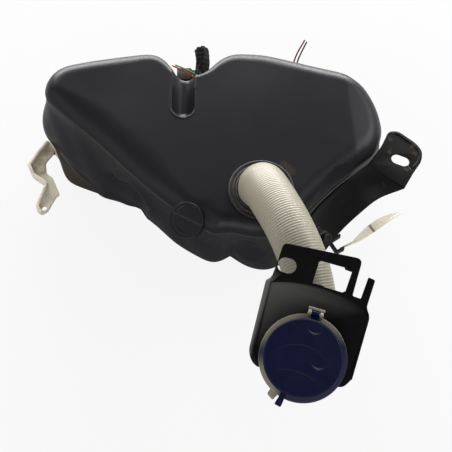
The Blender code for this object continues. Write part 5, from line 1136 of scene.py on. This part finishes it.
arm_border = slab(border_outline, 0.0001, 0.0075, Matrix.Translation((0, 0, ARM_FLOOR_Z)), 0.0008)
foot = slab(soft_corners(rectangle(-0.008, -0.0065, 0.008, 0.0091), 0.0012), 0.0003, 0.0029, FOOT, 0.0005)
white_arm = joined("white_arm", [arm_floor, arm_border, foot], merge=1e-6)
white_arm.data.set_sharp_from_angle(angle=math.radians(45))
arm_white = Finish("milky_nylon")
cloud = arm_white.noise(110.0, 5.0, 0.6)
fine = arm_white.noise(900.0, 2.0)
GRIME = ((-0.1720, 0.0400, 0.0360), (-0.1690, 0.0300, 0.0360), (-0.1680, 0.0470, 0.0360))
grime = arm_white.spots(GRIME, 0.008)
amount = arm_white.math("MULTIPLY_ADD", grime, 0.30, 0.0)
amount = arm_white.math("ADD", amount, cloud)
dirt_and_shade = arm_white.ranged(amount, 0.55, 0.95, 0.0, 0.8)
tint = arm_white.blend(dirt_and_shade, (0.84, 0.77, 0.63), (0.30, 0.20, 0.12))
bump = arm_white.bump(fine, 0.1, 0.0003)
arm_white.wear({
    "Base Color": tint, "Normal": bump, "Roughness": 0.45, "Subsurface Weight": 0.2,
    "Subsurface Radius": (0.003, 0.0025, 0.002),
})
white_arm.data.materials.append(arm_white.material)
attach(white_arm, "reservoir")
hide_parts("side_arm")
arm_screw_profile = rounded_profile((
    (0.0001, -0.0110), (0.0012, -0.0108), (0.0020, -0.0095), (0.0020, 0.0032), (0.0038, 0.0032),
    (0.0038, 0.0042), (0.0026, 0.0052), (0.0010, 0.0054), (0.0009, 0.0044), (0.0001, 0.0042)), 0.00025)
arm_screw = joined("arm_foot_screw", [turned(arm_screw_profile, 40, FOOT)])
arm_screw.data.set_sharp_from_angle(angle=math.radians(40))
arm_screw.data.materials.append(oxide.material)
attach(arm_screw, "reservoir")
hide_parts("side_arm_screw")

# The harness sleeve: a cloth tape wound round the pump's wires. It is stiff with dirt, creased lengthwise,
# and cut off ragged at its far end, where the dark inside shows.
SLEEVE_ROUTE = (
    (-0.0062, 0.1075, 0.0845), (-0.0058, 0.1130, 0.0850), (-0.0050, 0.1190, 0.0865),
    (-0.0050, 0.1260, 0.0885), (-0.0060, 0.1340, 0.0902), (-0.0066, 0.1395, 0.0908),
)
SLEEVE_RADIUS, SLEEVE_BORE = 0.0070, 0.0057
SLEEVE_SIDES = 96
FRAY_START = 0.86
sleeve_line = smooth_path(SLEEVE_ROUTE, 0.0005)
count = len(sleeve_line)
place_along = np.linspace(0, 1, count)[:, None]
turn = np.linspace(0, 2 * np.pi, SLEEVE_SIDES, endpoint=False)[None]
wrinkle = 0.00030 * np.sin(5 * turn + 3 * np.sin(6 * place_along)) * np.sin(9 * place_along + 1)
wrinkle = wrinkle + 0.00022 * np.sin(9 * turn - 7 * place_along + 2 * np.sin(3 * turn))
lap = 0.00035 * (((place_along * 7 + turn / (2 * np.pi)) % 1) - 0.5)
outside = carried(sleeve_line, SLEEVE_SIDES, SLEEVE_RADIUS + wrinkle + lap - 0.0006 * (place_along < 0.01))
ragged = 0.0006 * np.sin(3 * turn[0] + 1) + 0.0005 * np.sin(7 * turn[0]) + 0.0004 * np.sin(17 * turn[0])
last_way = sleeve_line[-1] - sleeve_line[-3]
last_way /= np.linalg.norm(last_way)
fray = np.clip((place_along - FRAY_START) / (1 - FRAY_START), 0, 1) ** 2
frayed = last_way * (fray * (ragged - 0.0022))[..., None]
inside = carried(sleeve_line, SLEEVE_SIDES, np.full(count, SLEEVE_BORE)) + frayed
sleeve_rings = np.concatenate([outside + frayed, inside[int(count * 0.35):][::-1]])
sleeve = joined("taped_sleeve", [capped_tube(sleeve_rings)])
cloth = Finish("dirty_cloth_tape")
threads = cloth.cells(1500.0)
smudge = cloth.noise(200.0, 5.0, 0.6)
dirt_and_shade = cloth.ranged(smudge, 0.45, 0.7, 0.0, 0.6)
tint = cloth.blend(dirt_and_shade, (0.0065, 0.0065, 0.0075), (0.020, 0.017, 0.014))
bump = cloth.bump(threads, 0.35, 0.0005)
cloth.wear({"Base Color": tint, "Normal": bump, "Roughness": 0.55, "Specular IOR Level": 0.12})
sleeve.data.materials.append(cloth.material)
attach(sleeve, "reservoir")
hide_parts("harness_sleeve")

# The pump and the level sensor: moulded housings pushed into rubber rings at the tank's back, and the parts
# that move in them. Their solids keep their shapes; each visible copy has its points merged and its sharp
# edges rounded.
moulding = Finish("dusty_black_moulding")
grain = moulding.noise(1000.0, 3.0)
settled = moulding.noise(180.0, 6.0, 0.7)
cover = moulding.ranged(settled, 0.42, 0.62, 0.0, 0.7)
tint = moulding.blend(cover, (0.014, 0.014, 0.015), (0.085, 0.065, 0.048))
bump = moulding.bump(grain, 0.2, 0.0004)
moulding.wear({"Base Color": tint, "Normal": bump, "Roughness": 0.6})
brown = Finish("brown_dusty_plug")
grit = brown.noise(420.0, 6.0, 0.7)
caked = brown.ranged(grit, 0.35, 0.6, 0.2, 1.0)
tint = brown.blend(caked, (0.012, 0.010, 0.008), (0.055, 0.038, 0.027))
bump = brown.bump(grit, 0.4, 0.0006)
brown.wear({"Base Color": tint, "Normal": bump, "Roughness": 0.8})
acetal = Finish("ivory_acetal")
cloud = acetal.noise(150.0, 3.0)
tint = acetal.blend(cloud, (0.58, 0.55, 0.46), (0.46, 0.43, 0.35))
acetal.wear({"Base Color": tint, "Roughness": 0.35})
mesh_cloth = Finish("strainer_gauze")
weave = mesh_cloth.cells(1400.0)
tint = mesh_cloth.blend(weave, (0.10, 0.10, 0.10), (0.42, 0.41, 0.38))
bump = mesh_cloth.bump(weave, 0.5, 0.0006)
mesh_cloth.wear({"Base Color": tint, "Normal": bump})
foam = Finish("float_foam")
cells = foam.cells(900.0)
tint = foam.blend(cells, (0.016, 0.016, 0.016), (0.05, 0.05, 0.05))
bump = foam.bump(cells, 0.5, 0.0005)
foam.wear({"Base Color": tint, "Normal": bump})
HOUSED = {
    "pump_housing": (moulding, "reservoir", 0.0006),
    "pump_cover": (moulding, "reservoir", 0.0006),
    "pump_motor": (moulding, "reservoir", 0.0008),
    "pump_plug": (brown, "reservoir", 0.0008),
    "pump_grommet": (rubber, "reservoir", 0.0004),
    "pump_strainer": (mesh_cloth, "reservoir", 0.0004),
    "pump_impeller": (acetal, "impeller", 0.0002),
    "pump_shaft": (steel, "impeller", 0.0002),
    "sensor_body": (moulding, "reservoir", 0.0006),
    "sensor_grommet": (rubber, "reservoir", 0.0004),
    "sensor_pin": (steel, "reservoir", 0.0002),
    "sensor_float": (foam, "float", 0.0006),
    "sensor_plug": (brown, "reservoir", 0.0008),
}
for node_name, (finish, body, edge) in HOUSED.items():
    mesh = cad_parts[node_name].data.copy()
    mesh.name = "rounded_" + node_name
    bm = bmesh.new()
    bm.from_mesh(mesh)
    bmesh.ops.remove_doubles(bm, verts=bm.verts, dist=2e-6)
    bmesh.ops.dissolve_limit(bm, angle_limit=math.radians(2), verts=bm.verts, edges=bm.edges)
    bmesh.ops.recalc_face_normals(bm, faces=bm.faces)
    bm.to_mesh(mesh)
    bm.free()
    mesh.materials.clear()
    mesh.materials.append(finish.material)
    mesh.shade_smooth()
    mesh.set_sharp_from_angle(angle=math.radians(40))
    made = bpy.data.objects.new("rounded_" + node_name, mesh)
    scene.collection.objects.link(made)
    rounding = made.modifiers.new("edges", "BEVEL")
    rounding.width = edge
    rounding.segments = 2
    rounding.angle_limit = math.radians(40)
    rounding.use_clamp_overlap = True
    rounding.harden_normals = True
    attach(made, body)
    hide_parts(node_name)
